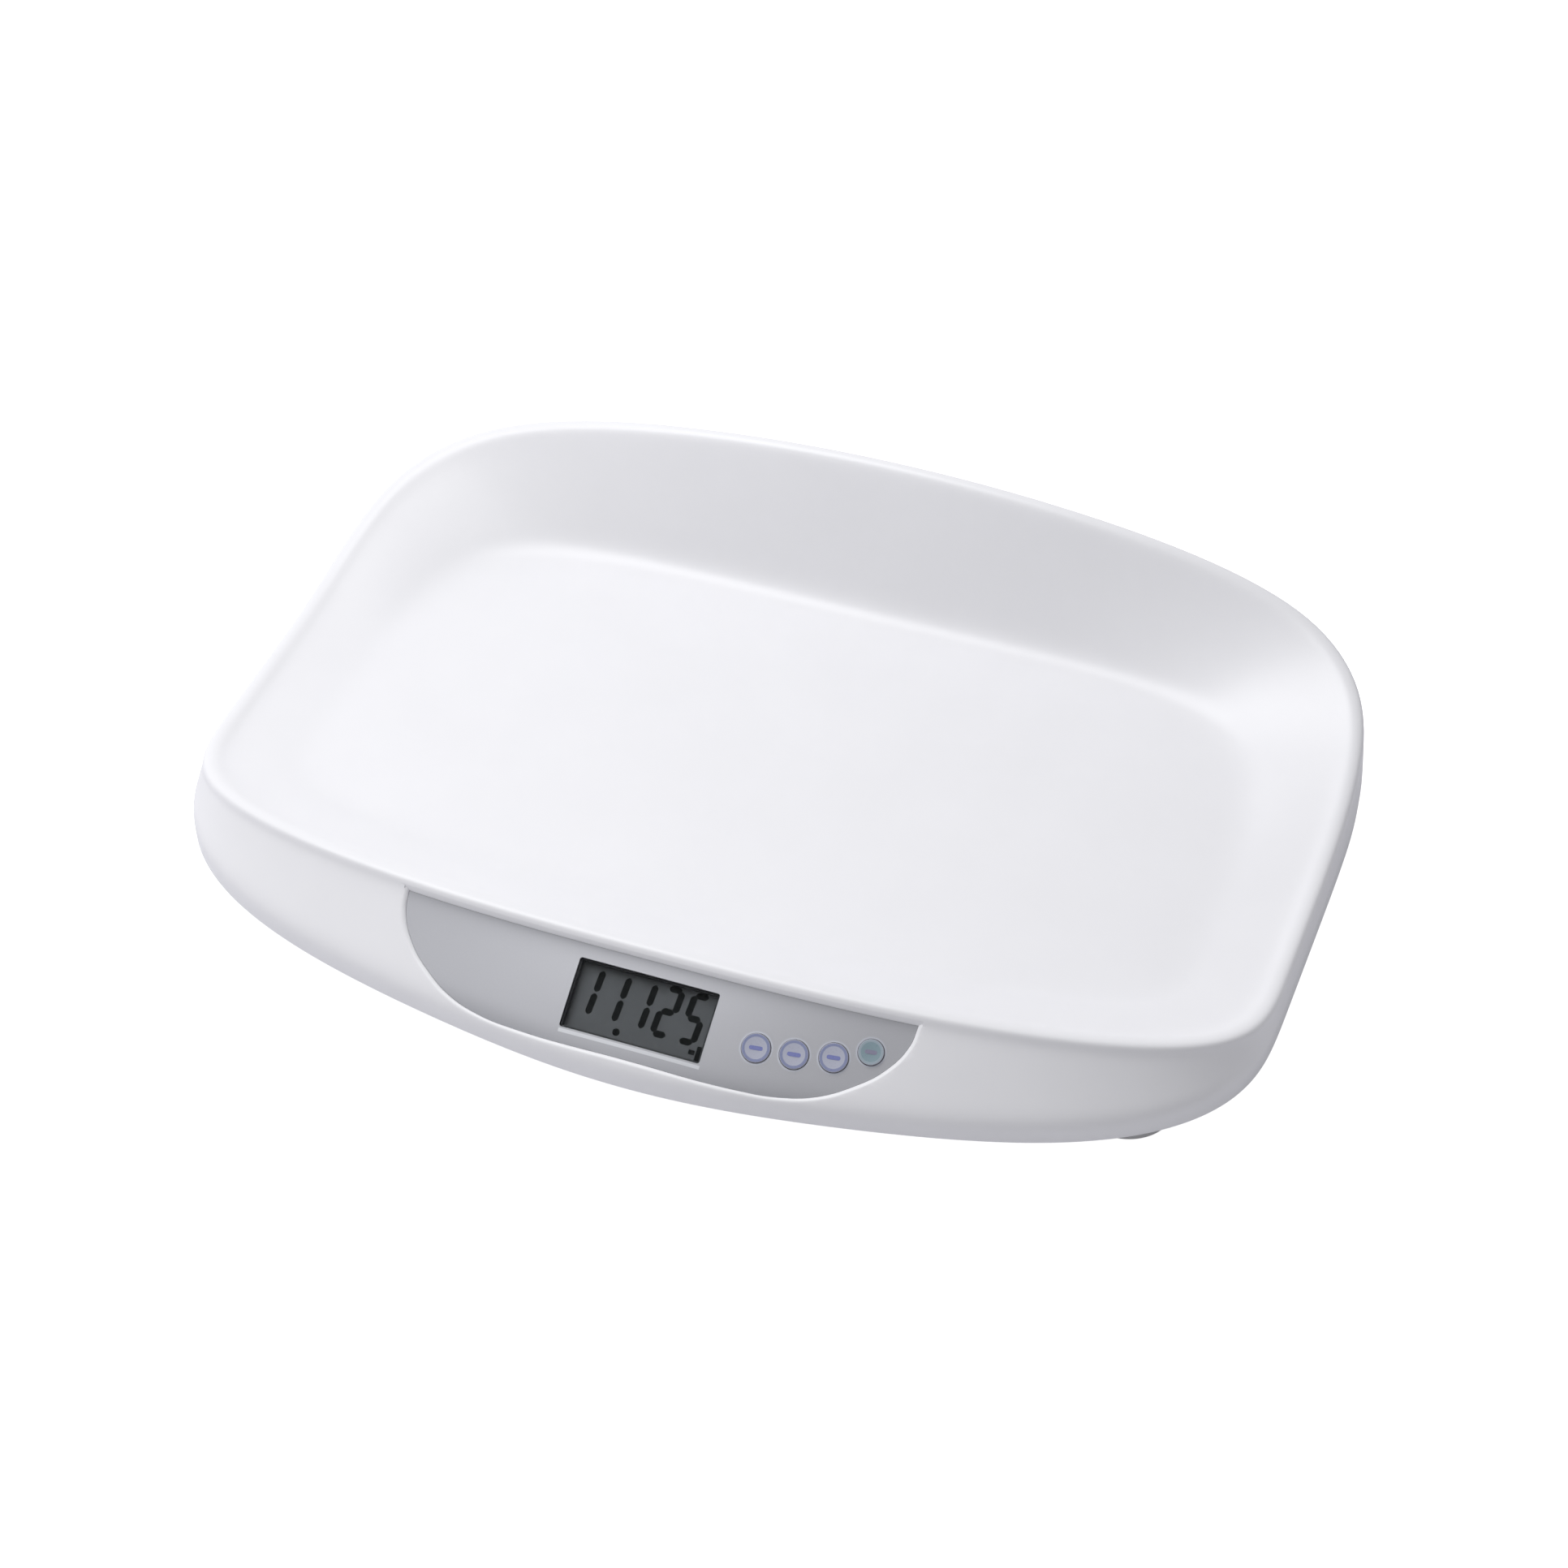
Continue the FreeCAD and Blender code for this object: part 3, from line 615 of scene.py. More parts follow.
@dataclass(frozen=True)
class PlatedMetal(Finish):
    """Zinc or nickel plated steel: bright, with a fine drawn grain.

    The real lines are below 0.05 mm, too fine to show, and are drawn 0.4 mm wide.
    """

    colour: str = "#C9CBCC"
    roughness: float = 0.3
    gloss_range: float = 0.08
    grain_mm: float = 0.4
    drawn: float = 8.0

    def shader(self, tree: Tree, spot: Socket) -> Socket:
        """Gives gloss broken up by noise that is stretched along the sheet.

        Args:
            tree: the material's nodes.
            spot: place on the piece, as the object's coordinates.

        Returns:
            What leaves the shader.
        """
        stretch = add_node(tree, "ShaderNodeMapping", {"Scale": (1.0, self.drawn, 1.0)},
                           {"Vector": spot})
        grain = add_node(tree, "ShaderNodeTexNoise",
                         {"Scale": 1 / (self.grain_mm * MM) / self.drawn, "Detail": 2.0},
                         {"Vector": stretch.outputs["Vector"]})
        gloss = add_node(tree, "ShaderNodeMapRange",
                         {"To Min": self.roughness - self.gloss_range,
                          "To Max": self.roughness + self.gloss_range},
                         {"Value": grain.outputs["Fac"]})
        shader = add_node(tree, "ShaderNodeBsdfPrincipled",
                          {"Base Color": linear(self.colour), "Metallic": 1.0},
                          {"Roughness": gloss.outputs["Result"]})
        return shader.outputs["BSDF"]


@dataclass(frozen=True)
class WhitePaper(Finish):
    """Backdrop paper: seen straight it is plain white, and it throws little light back up."""

    colour: str = "#FBFBFC"
    bounce_colour: str = "#F0F0F4"
    gloss: Pair = (0.85, 0.95)
    glow: float = 0.9
    mottle_mm: float = 16.7

    def shader(self, tree: Tree, spot: Socket) -> Socket:
        """Gives the camera a lit white, and every other ray a plain paler sheet.

        Args:
            tree: the material's nodes.
            spot: place on the piece, as the object's coordinates.

        Returns:
            What leaves the shader.
        """
        seen = add_node(tree, "ShaderNodeLightPath").outputs["Is Camera Ray"]
        mottle = add_node(tree, "ShaderNodeTexNoise",
                          {"Scale": 1 / (self.mottle_mm * MM), "Detail": 2.0}, {"Vector": spot})
        gloss = add_node(tree, "ShaderNodeMapRange",
                         {"To Min": self.gloss[0], "To Max": self.gloss[1]},
                         {"Value": mottle.outputs["Fac"]})
        tone = add_node(tree, "ShaderNodeValToRGB", {}, {"Fac": seen})
        for stop, colour in zip(tone.color_ramp.elements, (self.bounce_colour, self.colour)):
            stop.color = linear(colour)
        glow = add_node(tree, "ShaderNodeMapRange", {"To Max": self.glow}, {"Value": seen})
        shader = add_node(tree, "ShaderNodeBsdfPrincipled",
                          {"Specular IOR Level": 0.0, "Emission Color": linear("#FFFFFF")},
                          {"Base Color": tone.outputs["Color"],
                           "Emission Strength": glow.outputs["Result"],
                           "Roughness": gloss.outputs["Result"]})
        return shader.outputs["BSDF"]


# ---------------- the moulded surface

def ramp(t: float) -> float:
    """Eases from zero to one."""
    t = min(max(t, 0.0), 1.0)
    return t * t * (3 - 2 * t)


def mix(a: Pair, b: Pair, t: float) -> Pair:
    """Finds the point at a share of the way between two points."""
    return (a[0] + (b[0] - a[0]) * t, a[1] + (b[1] - a[1]) * t)


@dataclass
class Moulding:
    """Outer surface of the tray and its skirt, from the same sizes as the solids.

    All sizes are in millimetres. An oval is given by its half length and its depths to the
    front and to the rear, and rim_z by the heights at the ends, the middle of the front, its
    corners and the rear.
    """

    rim: Triple = (266.9, 80.2, 240.8)
    rim_powers: Pair = (2.45, 8.0)
    lip: float = 8.6
    skirt: Pair = (276.5, 123.6)
    skirt_powers: Pair = (2.45, 8.0)
    rear_tuck: float = 1.0
    bulge: Pair = (10.6, 212.0)
    corner: Triple = (228.0, 34.0, 207.0)
    floor: Triple = (205.0, 14.0, 186.0)
    floor_powers: Pair = (2.3, 5.6)
    skirt_z: float = 13.0
    belly_z: float = 24.3
    floor_z: float = 32.0
    rim_z: tuple[float, float, float, float] = (37.5, 57.5, 49.4, 102.1)
    rear_arch: float = 41.1
    rear_start: float = 89.9
    wall: float = 3.0
    crown: float = 1.6
    foot_draw: Pair = (0.4, 0.2)
    skirt_knots: tuple[Pair, ...] = ((0.28, 0.8), (0.52, 1.0), (0.78, 0.7))
    lip_drop: float = 3.4
    roll: Triple = (0.7, 1.6, 1.2)
    rim_edge: Pair = (0.2, 0.6)
    wall_knots: tuple[float, ...] = (0.06, 0.3, 0.54, 0.78)
    floor_knot: float = 0.55
    columns: int = 48
    steps_around: int = 8
    steps_up: int = 6
    tool_drop: float = 5.0
    column_height: float = 200.0

    @property
    def plan_y(self) -> float:
        """Where the plan centre lies along Y."""
        return (self.skirt[1] + self.bulge[0] - self.rim[2] - self.lip) / 2

    @staticmethod
    def oval(phi: float, half: float, front: float, rear: float, powers: Pair) -> float:
        """Radius of a squared oval whose front and rear halves have their own depth.

        Args:
            phi: plan direction, in radians.
            half: half of its length.
            front: its depth to the front.
            rear: its depth to the rear.
            powers: how square its front and rear are.

        Returns:
            The radius.
        """
        depth, power = (rear, powers[1]) if math.sin(phi) > 0 else (front, powers[0])
        total = (abs(math.cos(phi)) / half) ** power + (abs(math.sin(phi)) / depth) ** power
        return total ** (-1 / power)

    def rim_radius(self, phi: float) -> float:
        """Plan radius of the lip's inner edge."""
        return self.oval(phi, *self.rim, self.rim_powers)

    def skirt_radius(self, phi: float) -> float:
        """Plan radius of the skirt's widest line.

        Args:
            phi: plan direction, in radians.

        Returns:
            The radius.
        """
        rear = self.rim[2] + self.lip - self.rear_tuck
        radius = self.oval(phi, *self.skirt, rear, self.skirt_powers)
        x = radius * math.cos(phi)
        height, reach = self.bulge
        if math.sin(phi) < 0 and abs(x) < reach:
            radius += height * math.cos(math.pi / 2 * x / reach) ** 2 * abs(math.sin(phi))
        return radius

    def share(self, phi: float) -> float:
        """Cosine of the angle between the radius and the rim's outward normal.

        Args:
            phi: plan direction, in radians.

        Returns:
            The cosine.
        """
        step = 0.001
        change = (self.rim_radius(phi + step) - self.rim_radius(phi - step)) / (2 * step)
        return 1 / math.hypot(1, change / self.rim_radius(phi))

    def rim_height(self, phi: float) -> float:
        """Height of the rim at a plan direction.

        Args:
            phi: plan direction, in radians.

        Returns:
            The height.
        """
        radius = self.rim_radius(phi)
        x, y = radius * math.cos(phi), radius * math.sin(phi)
        end, front, front_corner, rear = self.rim_z
        side = (x / self.rim[0]) ** 2
        rise = ramp(-y / self.rim[1]) * (front - end + (front_corner - front) * side)
        climb = ramp((y - self.rear_start) / (self.rim[2] - self.rear_start))
        return end + rise + climb * (rear - end - self.rear_arch * side)

    def section(self, phi: float, foot_z: float) -> list[Pair]:
        """Section from the skirt's foot over the lip to the floor.

        Args:
            phi: plan direction.
            foot_z: height at which the skirt ends.

        Returns:
            Points as distance out from the rim and height.
        """
        share, rim, top = self.share(phi), self.rim_radius(phi), self.rim_height(phi)
        belly = ((self.skirt_radius(phi) - rim) * share, self.belly_z)
        lip_edge = (self.lip, top - self.lip_drop)
        rim_edge = (self.rim_edge[0], top - self.rim_edge[1])
        corner, edge = (((self.oval(phi, *size, self.floor_powers) - rim) * share, self.floor_z)
                        for size in (self.corner, self.floor))
        crown = self.crown * max(-math.sin(phi), 0) ** 2
        low, middle = self.foot_draw
        points = [(belly[0] - low, foot_z),
                  (belly[0] - middle, (foot_z + self.belly_z) / 2), belly]
        for t, amount in self.skirt_knots:
            w, z = mix(belly, lip_edge, t)
            points.append((w + amount * crown, z))
        outer, inner, rise = self.roll
        points += [lip_edge, (self.lip - outer, top + rise), (inner, top + rise)]
        points += [mix(rim_edge, corner, t) for t in self.wall_knots]
        return points + [corner, mix(corner, edge, self.floor_knot), edge]

    @staticmethod
    def inset(points: list[Pair], depth: float) -> list[Pair]:
        """Moves a section inwards by a depth, keeping its sides parallel.

        Args:
            points: the section.
            depth: how far it moves.

        Returns:
            The moved points.
        """
        moved = []
        for i, (w, z) in enumerate(points):
            ends = (points[max(i - 1, 0)], (w, z), points[min(i + 1, len(points) - 1)])
            normals = []
            for a, b in zip(ends, ends[1:]):
                length = math.hypot(b[0] - a[0], b[1] - a[1])
                if length > 0:
                    normals.append(((a[1] - b[1]) / length, (b[0] - a[0]) / length))
            first, last = normals[0], normals[-1]
            reach = depth / (1 + first[0] * last[0] + first[1] * last[1])
            moved.append((w + (first[0] + last[0]) * reach, z + (first[1] + last[1]) * reach))
        return moved

    def directions(self) -> list[float]:
        """Plan directions of the surface net's columns.

        Returns:
            The directions, in radians.
        """
        mean = (self.rim[1] + self.rim[2]) / 2
        turns = [2 * math.pi * i / self.columns for i in range(self.columns)]
        return [math.atan2(mean * math.sin(t), self.rim[0] * math.cos(t)) for t in turns]

    def around(self) -> np.ndarray:
        """Weights of the columns at each step around the closed cubic surface.

        Returns:
            One row of weights for each step.
        """
        steps = self.steps_around
        rows = np.zeros((self.columns * steps, self.columns))
        for i in range(self.columns):
            for k in range(steps):
                t = k / steps
                weights = ((1 - t) ** 3, 3 * t ** 3 - 6 * t ** 2 + 4,
                           -3 * t ** 3 + 3 * t ** 2 + 3 * t + 1, t ** 3)
                for j, weight in enumerate(weights):
                    rows[i * steps + k, (i - 1 + j) % self.columns] += weight / 6
        return rows

    @staticmethod
    def along(values: np.ndarray, count: int) -> np.ndarray:
        """Weights of a clamped cubic spline's control points at some parameters.

        Args:
            values: parameters, from 0 to the number of control points less three.
            count: number of control points.

        Returns:
            One row of weights for each parameter.
        """
        end = count - 3
        knots = np.clip(np.arange(count + 4) - 3.0, 0, end)
        at = np.minimum(values, end - 1e-9)[:, None]
        rows = ((knots[:-1] <= at) & (at < knots[1:])).astype(float)
        for degree in (1, 2, 3):
            span = np.maximum(knots[degree:] - knots[:-degree], 1)
            rise = (at - knots[:-degree]) / span
            fall = (knots[degree:] - at) / span
            rows = rise[:, :-1] * rows[:, :-1] + fall[:, 1:] * rows[:, 1:]
        return rows

    def grid(self, depth: float, foot_z: float, steps_up: int) -> np.ndarray:
        """Points of the surface pulled in by a depth, in metres.

        Args:
            depth: how far below the outer surface.
            foot_z: height at which the skirt ends.
            steps_up: steps of each span of the section.

        Returns:
            Array of the points, around and then up.
        """
        net = []
        for phi in self.directions():
            column = self.inset(self.section(phi, foot_z), depth)
            net.append([self.spot(phi, out, z) for out, z in column])
        poles = np.array(net)
        count = poles.shape[1]
        values = np.linspace(0, count - 3, (count - 3) * steps_up + 1)
        return np.einsum("uc,vr,crk->uvk", self.around(), self.along(values, count), poles) * MM

    def spot(self, phi: float, out: float, z: float) -> Triple:
        """Point at a distance out from the rim."""
        radius = self.rim_radius(phi) + out / self.share(phi)
        return (radius * math.cos(phi), radius * math.sin(phi) + self.plan_y, z)

    def solid(self, name: str, depth: float, foot_z: float | None = None,
              steps_up: int | None = None) -> Piece:
        """Builds the closed body inside the surface at a depth."""
        foot = self.skirt_z - self.tool_drop if foot_z is None else foot_z
        return band(self.grid(depth, foot, steps_up or self.steps_up), name)

    def column(self, name: str, offset: float) -> Piece:
        """Builds an upright column whose plan is the rim moved out by an offset.

        Args:
            name: the piece's name.
            offset: how far the plan lies outside the rim.

        Returns:
            The column.
        """
        poles = np.array([self.spot(phi, offset, 0.0) for phi in self.directions()])
        ring = self.around() @ poles * MM
        bpy.ops.mesh.primitive_circle_add(vertices=len(ring), fill_type="NGON")
        piece = settle(bpy.context.object, name)
        piece.data.vertices.foreach_set("co", ring.reshape(-1))
        bpy.ops.object.mode_set(mode="EDIT")
        bpy.ops.mesh.select_all(action="SELECT")
        up = (0, 0, self.column_height * MM)
        bpy.ops.mesh.extrude_region_move(TRANSFORM_OT_translate={"value": up})
        turn_outward()
        return piece


def frame_of(name: str, spot: Pair, top: float, slope: float = 0.3) -> Matrix:
    """Finds the sloping frame that a CAD node was built in, from the node itself.

    Args:
        name: a node with a flat front that faces out of the sloping face.
        spot: where its middle lies in the frame, in millimetres.
        top: where its front lies in the frame, in millimetres.
        slope: the least that the front's normal points forward and up.

    Returns:
        The frame in metres: its X runs right, its Y up the face and its Z out of it.
    """
    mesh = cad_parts[name].data
    fronts = (p for p in mesh.polygons if p.normal.y < -slope and p.normal.z > slope)
    out = max(fronts, key=lambda p: p.area).normal
    right = Vector((0, 0, 1)).cross(out).normalized()
    turn = Matrix((right, out.cross(right), out))
    local = np.array([turn @ v.co for v in mesh.vertices])
    low, high = local.min(axis=0), local.max(axis=0)
    middle = Vector(((low[0] + high[0]) / 2 - spot[0] * MM,
                     (low[1] + high[1]) / 2 - spot[1] * MM, high[2] - top * MM))
    return Matrix.Translation(turn.transposed() @ middle) @ turn.transposed().to_4x4()


@dataclass
class Face:
    """Finds heights of the moulding over a sloping frame."""

    tree: BVHTree
    start: float = 30.0
    margin: float = 3.0

    def drop(self, at: Matrix, x: float, y: float, missed: float) -> float:
        """Height of the surface over a point of a frame, along the frame's Z.

        Args:
            at: the frame, in metres.
            x: the point's X in the frame, in millimetres.
            y: the point's Y in the frame, in millimetres.
            missed: the height to give where the surface is more than a panel's reach away.

        Returns:
            The height in millimetres.
        """
        above = at @ Vector((x * MM, y * MM, self.start * MM))
        hit = self.tree.ray_cast(above, at.to_3x3() @ Vector((0, 0, -1)))[0]
        height = (at.inverted() @ hit).z / MM if hit else missed
        limit = abs(missed) - self.margin
        return min(max(height, -limit), limit)


# ---------------- tray and panel

@dataclass
class Tray:
    """The one-piece tray with its skirt, and the silver panel let into its front."""

    moulding: Moulding
    panel_curve: tuple[Pair, ...] = (
        (0, -24.2), (56, -23.6), (76, -21.2), (92, -16.2), (105.5, -8), (118.5, 3.8), (126, 17),
        (127.5, 27))
    curve_steps: int = 12
    panel_top: float = 60.0
    panel_reach: float = 14.0
    step: float = 1.35
    thickness: float = 1.0
    gap: float = 0.15
    flare_angles: Pair = (56.0, 10.0)
    flare_steps: int = 6
    flare_lift: float = 0.02
    window: Pair = (69.6, 33.6)
    window_corner: float = 1.2
    window_cut: Pair = (-14.0, 5.0)
    inside_steps: int = 3
    crease: float = 35.0

    def outline(self) -> np.ndarray:
        """Fine points of the panel's outline in the display's plane, counterclockwise.

        Returns:
            The points, in millimetres.
        """
        right = list(self.panel_curve)
        points = [(-x, y) for x, y in reversed(right[1:])] + right
        points += [(points[-1][0], self.panel_top), (points[0][0], self.panel_top)]
        bpy.ops.curve.primitive_bezier_circle_add()
        curve = bpy.context.object
        curve.data.resolution_u = self.curve_steps
        spline = curve.data.splines[0]
        spline.bezier_points.add(len(points) - len(spline.bezier_points))
        for knot, (x, y) in zip(spline.bezier_points, points):
            knot.co = (x * MM, y * MM, 0)
            kind = "VECTOR" if y >= points[0][1] - CLOSE else "AUTO"
            knot.handle_left_type = knot.handle_right_type = kind
        only(curve)
        bpy.ops.object.convert(target="MESH")
        loop = np.array([v.co[:2] for v in curve.data.vertices]) / MM
        bpy.data.objects.remove(curve)
        return loop[np.linalg.norm(loop - np.roll(loop, 1, axis=0), axis=1) > CLOSE]

    def blank(self, name: str, at: Matrix, rings: list[Pair], face: Face) -> Piece:
        """Builds a thick slab of the panel's outline, trimmed along the outside of the lip.

        Args:
            name: the piece's name.
            at: the display's frame.
            rings: between the two flat ends, how far out of the outline and how far over the
                surface each ring lies, in millimetres.
            face: finds the surface's height.

        Returns:
            The slab.
        """
        loop = self.outline()
        along = np.roll(loop, -1, axis=0) - np.roll(loop, 1, axis=0)
        away = np.stack([along[:, 1], -along[:, 0]], axis=1)
        away /= np.linalg.norm(along, axis=1)[:, None]
        layers = []
        for out, height in [(rings[0][0], None), *rings, (rings[-1][0], None)]:
            flat = self.panel_reach if layers else -self.panel_reach
            spots = loop + away * out
            heights = [flat if height is None else face.drop(at, x, y, flat) + height
                       for x, y in spots]
            layers.append([at @ (Vector((x, y, z)) * MM) for (x, y), z in zip(spots, heights)])
        slab = band(np.swapaxes(np.array(layers), 0, 1), name)
        column = self.moulding.column("lip_column", self.moulding.lip - rings[0][0])
        return combine(slab, column, Cut.AWAY)

    def flare(self) -> list[Pair]:
        """Rings of the recess: a short wall, then a rounded shoulder up to the skin.

        Returns:
            Each ring's distance out of the outline and over the skin, in millimetres.
        """
        steep, shallow = (math.radians(angle) for angle in self.flare_angles)
        depth = self.step + self.flare_lift
        radius = depth / (math.cos(shallow) - math.cos(steep))
        rings = [(self.gap, -depth - self.thickness)]
        for k in range(self.flare_steps + 1):
            turn = steep + (shallow - steep) * k / self.flare_steps
            out = self.gap + radius * (math.sin(steep) - math.sin(turn))
            height = radius * (math.cos(turn) - math.cos(steep)) - depth
            rings.append((out, height + self.flare_lift * k / self.flare_steps))
        return rings

    def window_tool(self, at: Matrix) -> Piece:
        """Builds a rounded block of the window's outline, grown by the gap.

        Args:
            at: the display's frame.

        Returns:
            The block.
        """
        low, high = self.window_cut
        size = (*(side + 2 * self.gap for side in self.window), high - low)
        tool = block(size, (0, 0, (low + high) / 2), "window_tool", corner=self.window_corner)
        return place(tool, at)

    def build(self, display: Matrix, face: Face, key_tools: list[Piece]) -> tuple[Piece, Piece]:
        """Builds the tray and the panel.

        Args:
            display: the display's frame on the front.
            face: finds the surface's height.
            key_tools: closed shapes of the key holes, which are used up.

        Returns:
            The tray moulding and the panel.
        """
        moulding = self.moulding
        deep = moulding.solid("deep_tool", self.step + self.thickness)
        tray = moulding.solid("tray_moulding", 0, moulding.skirt_z)
        inside = moulding.solid("inside_tool", moulding.wall, steps_up=self.inside_steps)
        combine(tray, inside, Cut.AWAY)
        recess = self.blank("recess_tool", display, self.flare(), face)
        combine(recess, deep, Cut.AWAY, keep_other=True)
        combine(tray, recess, Cut.AWAY)
        panel = self.blank("front_overlay", display, [(0.0, -self.step)], face)
        combine(panel, moulding.solid("face_tool", self.step), Cut.KEEP_COMMON)
        combine(panel, deep, Cut.AWAY)
        for piece in (tray, panel):
            combine(piece, self.window_tool(display), Cut.AWAY)
            for tool in key_tools:
                combine(piece, tool, Cut.AWAY, keep_other=True)
        for tool in key_tools:
            bpy.data.objects.remove(tool)
        return smooth(tray, self.crease), smooth(panel, self.crease)


# ---------------- display

class Segment(Enum):
    """Strokes of a seven-segment figure, by their ends in units of half the figure's size."""

    TOP = ((-1, 1), (1, 1))
    UPPER_LEFT = ((-1, 0), (-1, 1))
    UPPER_RIGHT = ((1, 0), (1, 1))
    MIDDLE = ((-1, 0), (1, 0))
    LOWER_LEFT = ((-1, -1), (-1, 0))
    LOWER_RIGHT = ((1, -1), (1, 0))
    BOTTOM = ((-1, -1), (1, -1))


FIGURES: dict[str, tuple[Segment, ...]] = {
    "1": (Segment.UPPER_RIGHT, Segment.LOWER_RIGHT),
    "2": (Segment.TOP, Segment.UPPER_RIGHT, Segment.MIDDLE, Segment.LOWER_LEFT,
          Segment.BOTTOM),
    "5": (Segment.TOP, Segment.UPPER_LEFT, Segment.MIDDLE, Segment.LOWER_RIGHT,
          Segment.BOTTOM),
}


@dataclass
class Display:
    """The reading that shows on the liquid crystal glass, in the display's frame."""

    figure: Pair = (10.2, 25.4)
    stroke: float = 3.2
    tip: float = 0.8
    trim: float = 0.45
    slant: float = 0.06
    reading: str = "11125"
    first_x: float = -27.6
    pitch: float = 13.2
    figures_y: float = 3.2
    point: Triple = (-8.8, -12.2, 1.8)
    point_sides: int = 16
    unit_marks: tuple[tuple[float, float, float, float], ...] = (
        (31.9, -12.3, 2.2, 7.4), (28.7, -12.0, 3.0, 2.2))
    lift: float = 0.05
    ink: float = 0.03

    def glass_height(self, at: Matrix) -> float:
        """Height of the glass's face in the display's frame, in millimetres.

        Args:
            at: the display's frame.

        Returns:
            The height.
        """
        back = at.inverted()
        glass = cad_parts["display_glass"].data
        return max((back @ v.co).z for v in glass.vertices) / MM

    def stroke_piece(self, segment: Segment, centre: Pair, height: float) -> Piece:
        """Builds one stroke of a figure with blunt tips, lying in the display's plane.

        Args:
            segment: which stroke.
            centre: middle of the figure.
            height: how high the stroke lies.

        Returns:
            The flat stroke.
        """
        half_x, half_y = ((side - self.stroke) / 2 for side in self.figure)
        (ax, ay), (bx, by) = [(x * half_x, y * half_y) for x, y in segment.value]
        flat = ay == by
        half = math.hypot(bx - ax, by - ay) / 2 - self.trim
        wide, tip = self.stroke / 2, self.tip / 2
        side = half - wide + tip
        outline = ((-half, -tip), (-half, tip), (-side, wide), (side, wide),
                   (half, tip), (half, -tip), (side, -wide), (-side, -wide))
        bpy.ops.mesh.primitive_circle_add(vertices=len(outline), fill_type="NGON")
        piece = settle(bpy.context.object, "stroke")
        for vertex, (along, across) in zip(piece.data.vertices, outline):
            x, y = (along, across) if flat else (-across, along)
            x, y = x + (ax + bx) / 2, y + (ay + by) / 2
            spot = Vector((x + self.slant * y + centre[0], y + centre[1], height))
            vertex.co = spot * MM
        return piece

    def figures(self, at: Matrix) -> Piece:
        """Builds the reading: plain figures, a low point and two small unit marks.

        Args:
            at: the display's frame.

        Returns:
            The reading.
        """
        height = self.glass_height(at) + self.lift
        strokes = []
        for number, name in enumerate(self.reading):
            centre = (self.first_x + number * self.pitch, self.figures_y)
            strokes += [self.stroke_piece(segment, centre, height) for segment in FIGURES[name]]
        x, y, radius = self.point
        bpy.ops.mesh.primitive_circle_add(vertices=self.point_sides, fill_type="NGON",
                                          radius=radius * MM,
                                          location=(x * MM, y * MM, height * MM))
        strokes.append(settle(bpy.context.object, "point"))
        for x, y, wide, tall in self.unit_marks:
            bpy.ops.mesh.primitive_plane_add(size=1, location=(x * MM, y * MM, height * MM))
            mark = bpy.context.object
            mark.scale = (wide * MM, tall * MM, 1)
            strokes.append(settle(mark, "unit_mark"))
        reading = join(strokes, "display_reading")
        apply_modifier(reading, "SOLIDIFY", thickness=self.ink * MM, offset=1)
        return place(reading, at)


# ---------------- keys

class KeyColours(Enum):
    """Printed colours of a key: its ring, its middle and its mark."""

    BLUE = ("#8D94B6", "#BABDCD", "#8188C0")
    TEAL = ("#A3B1BB", "#8CA2AB", "#8F8DA4")


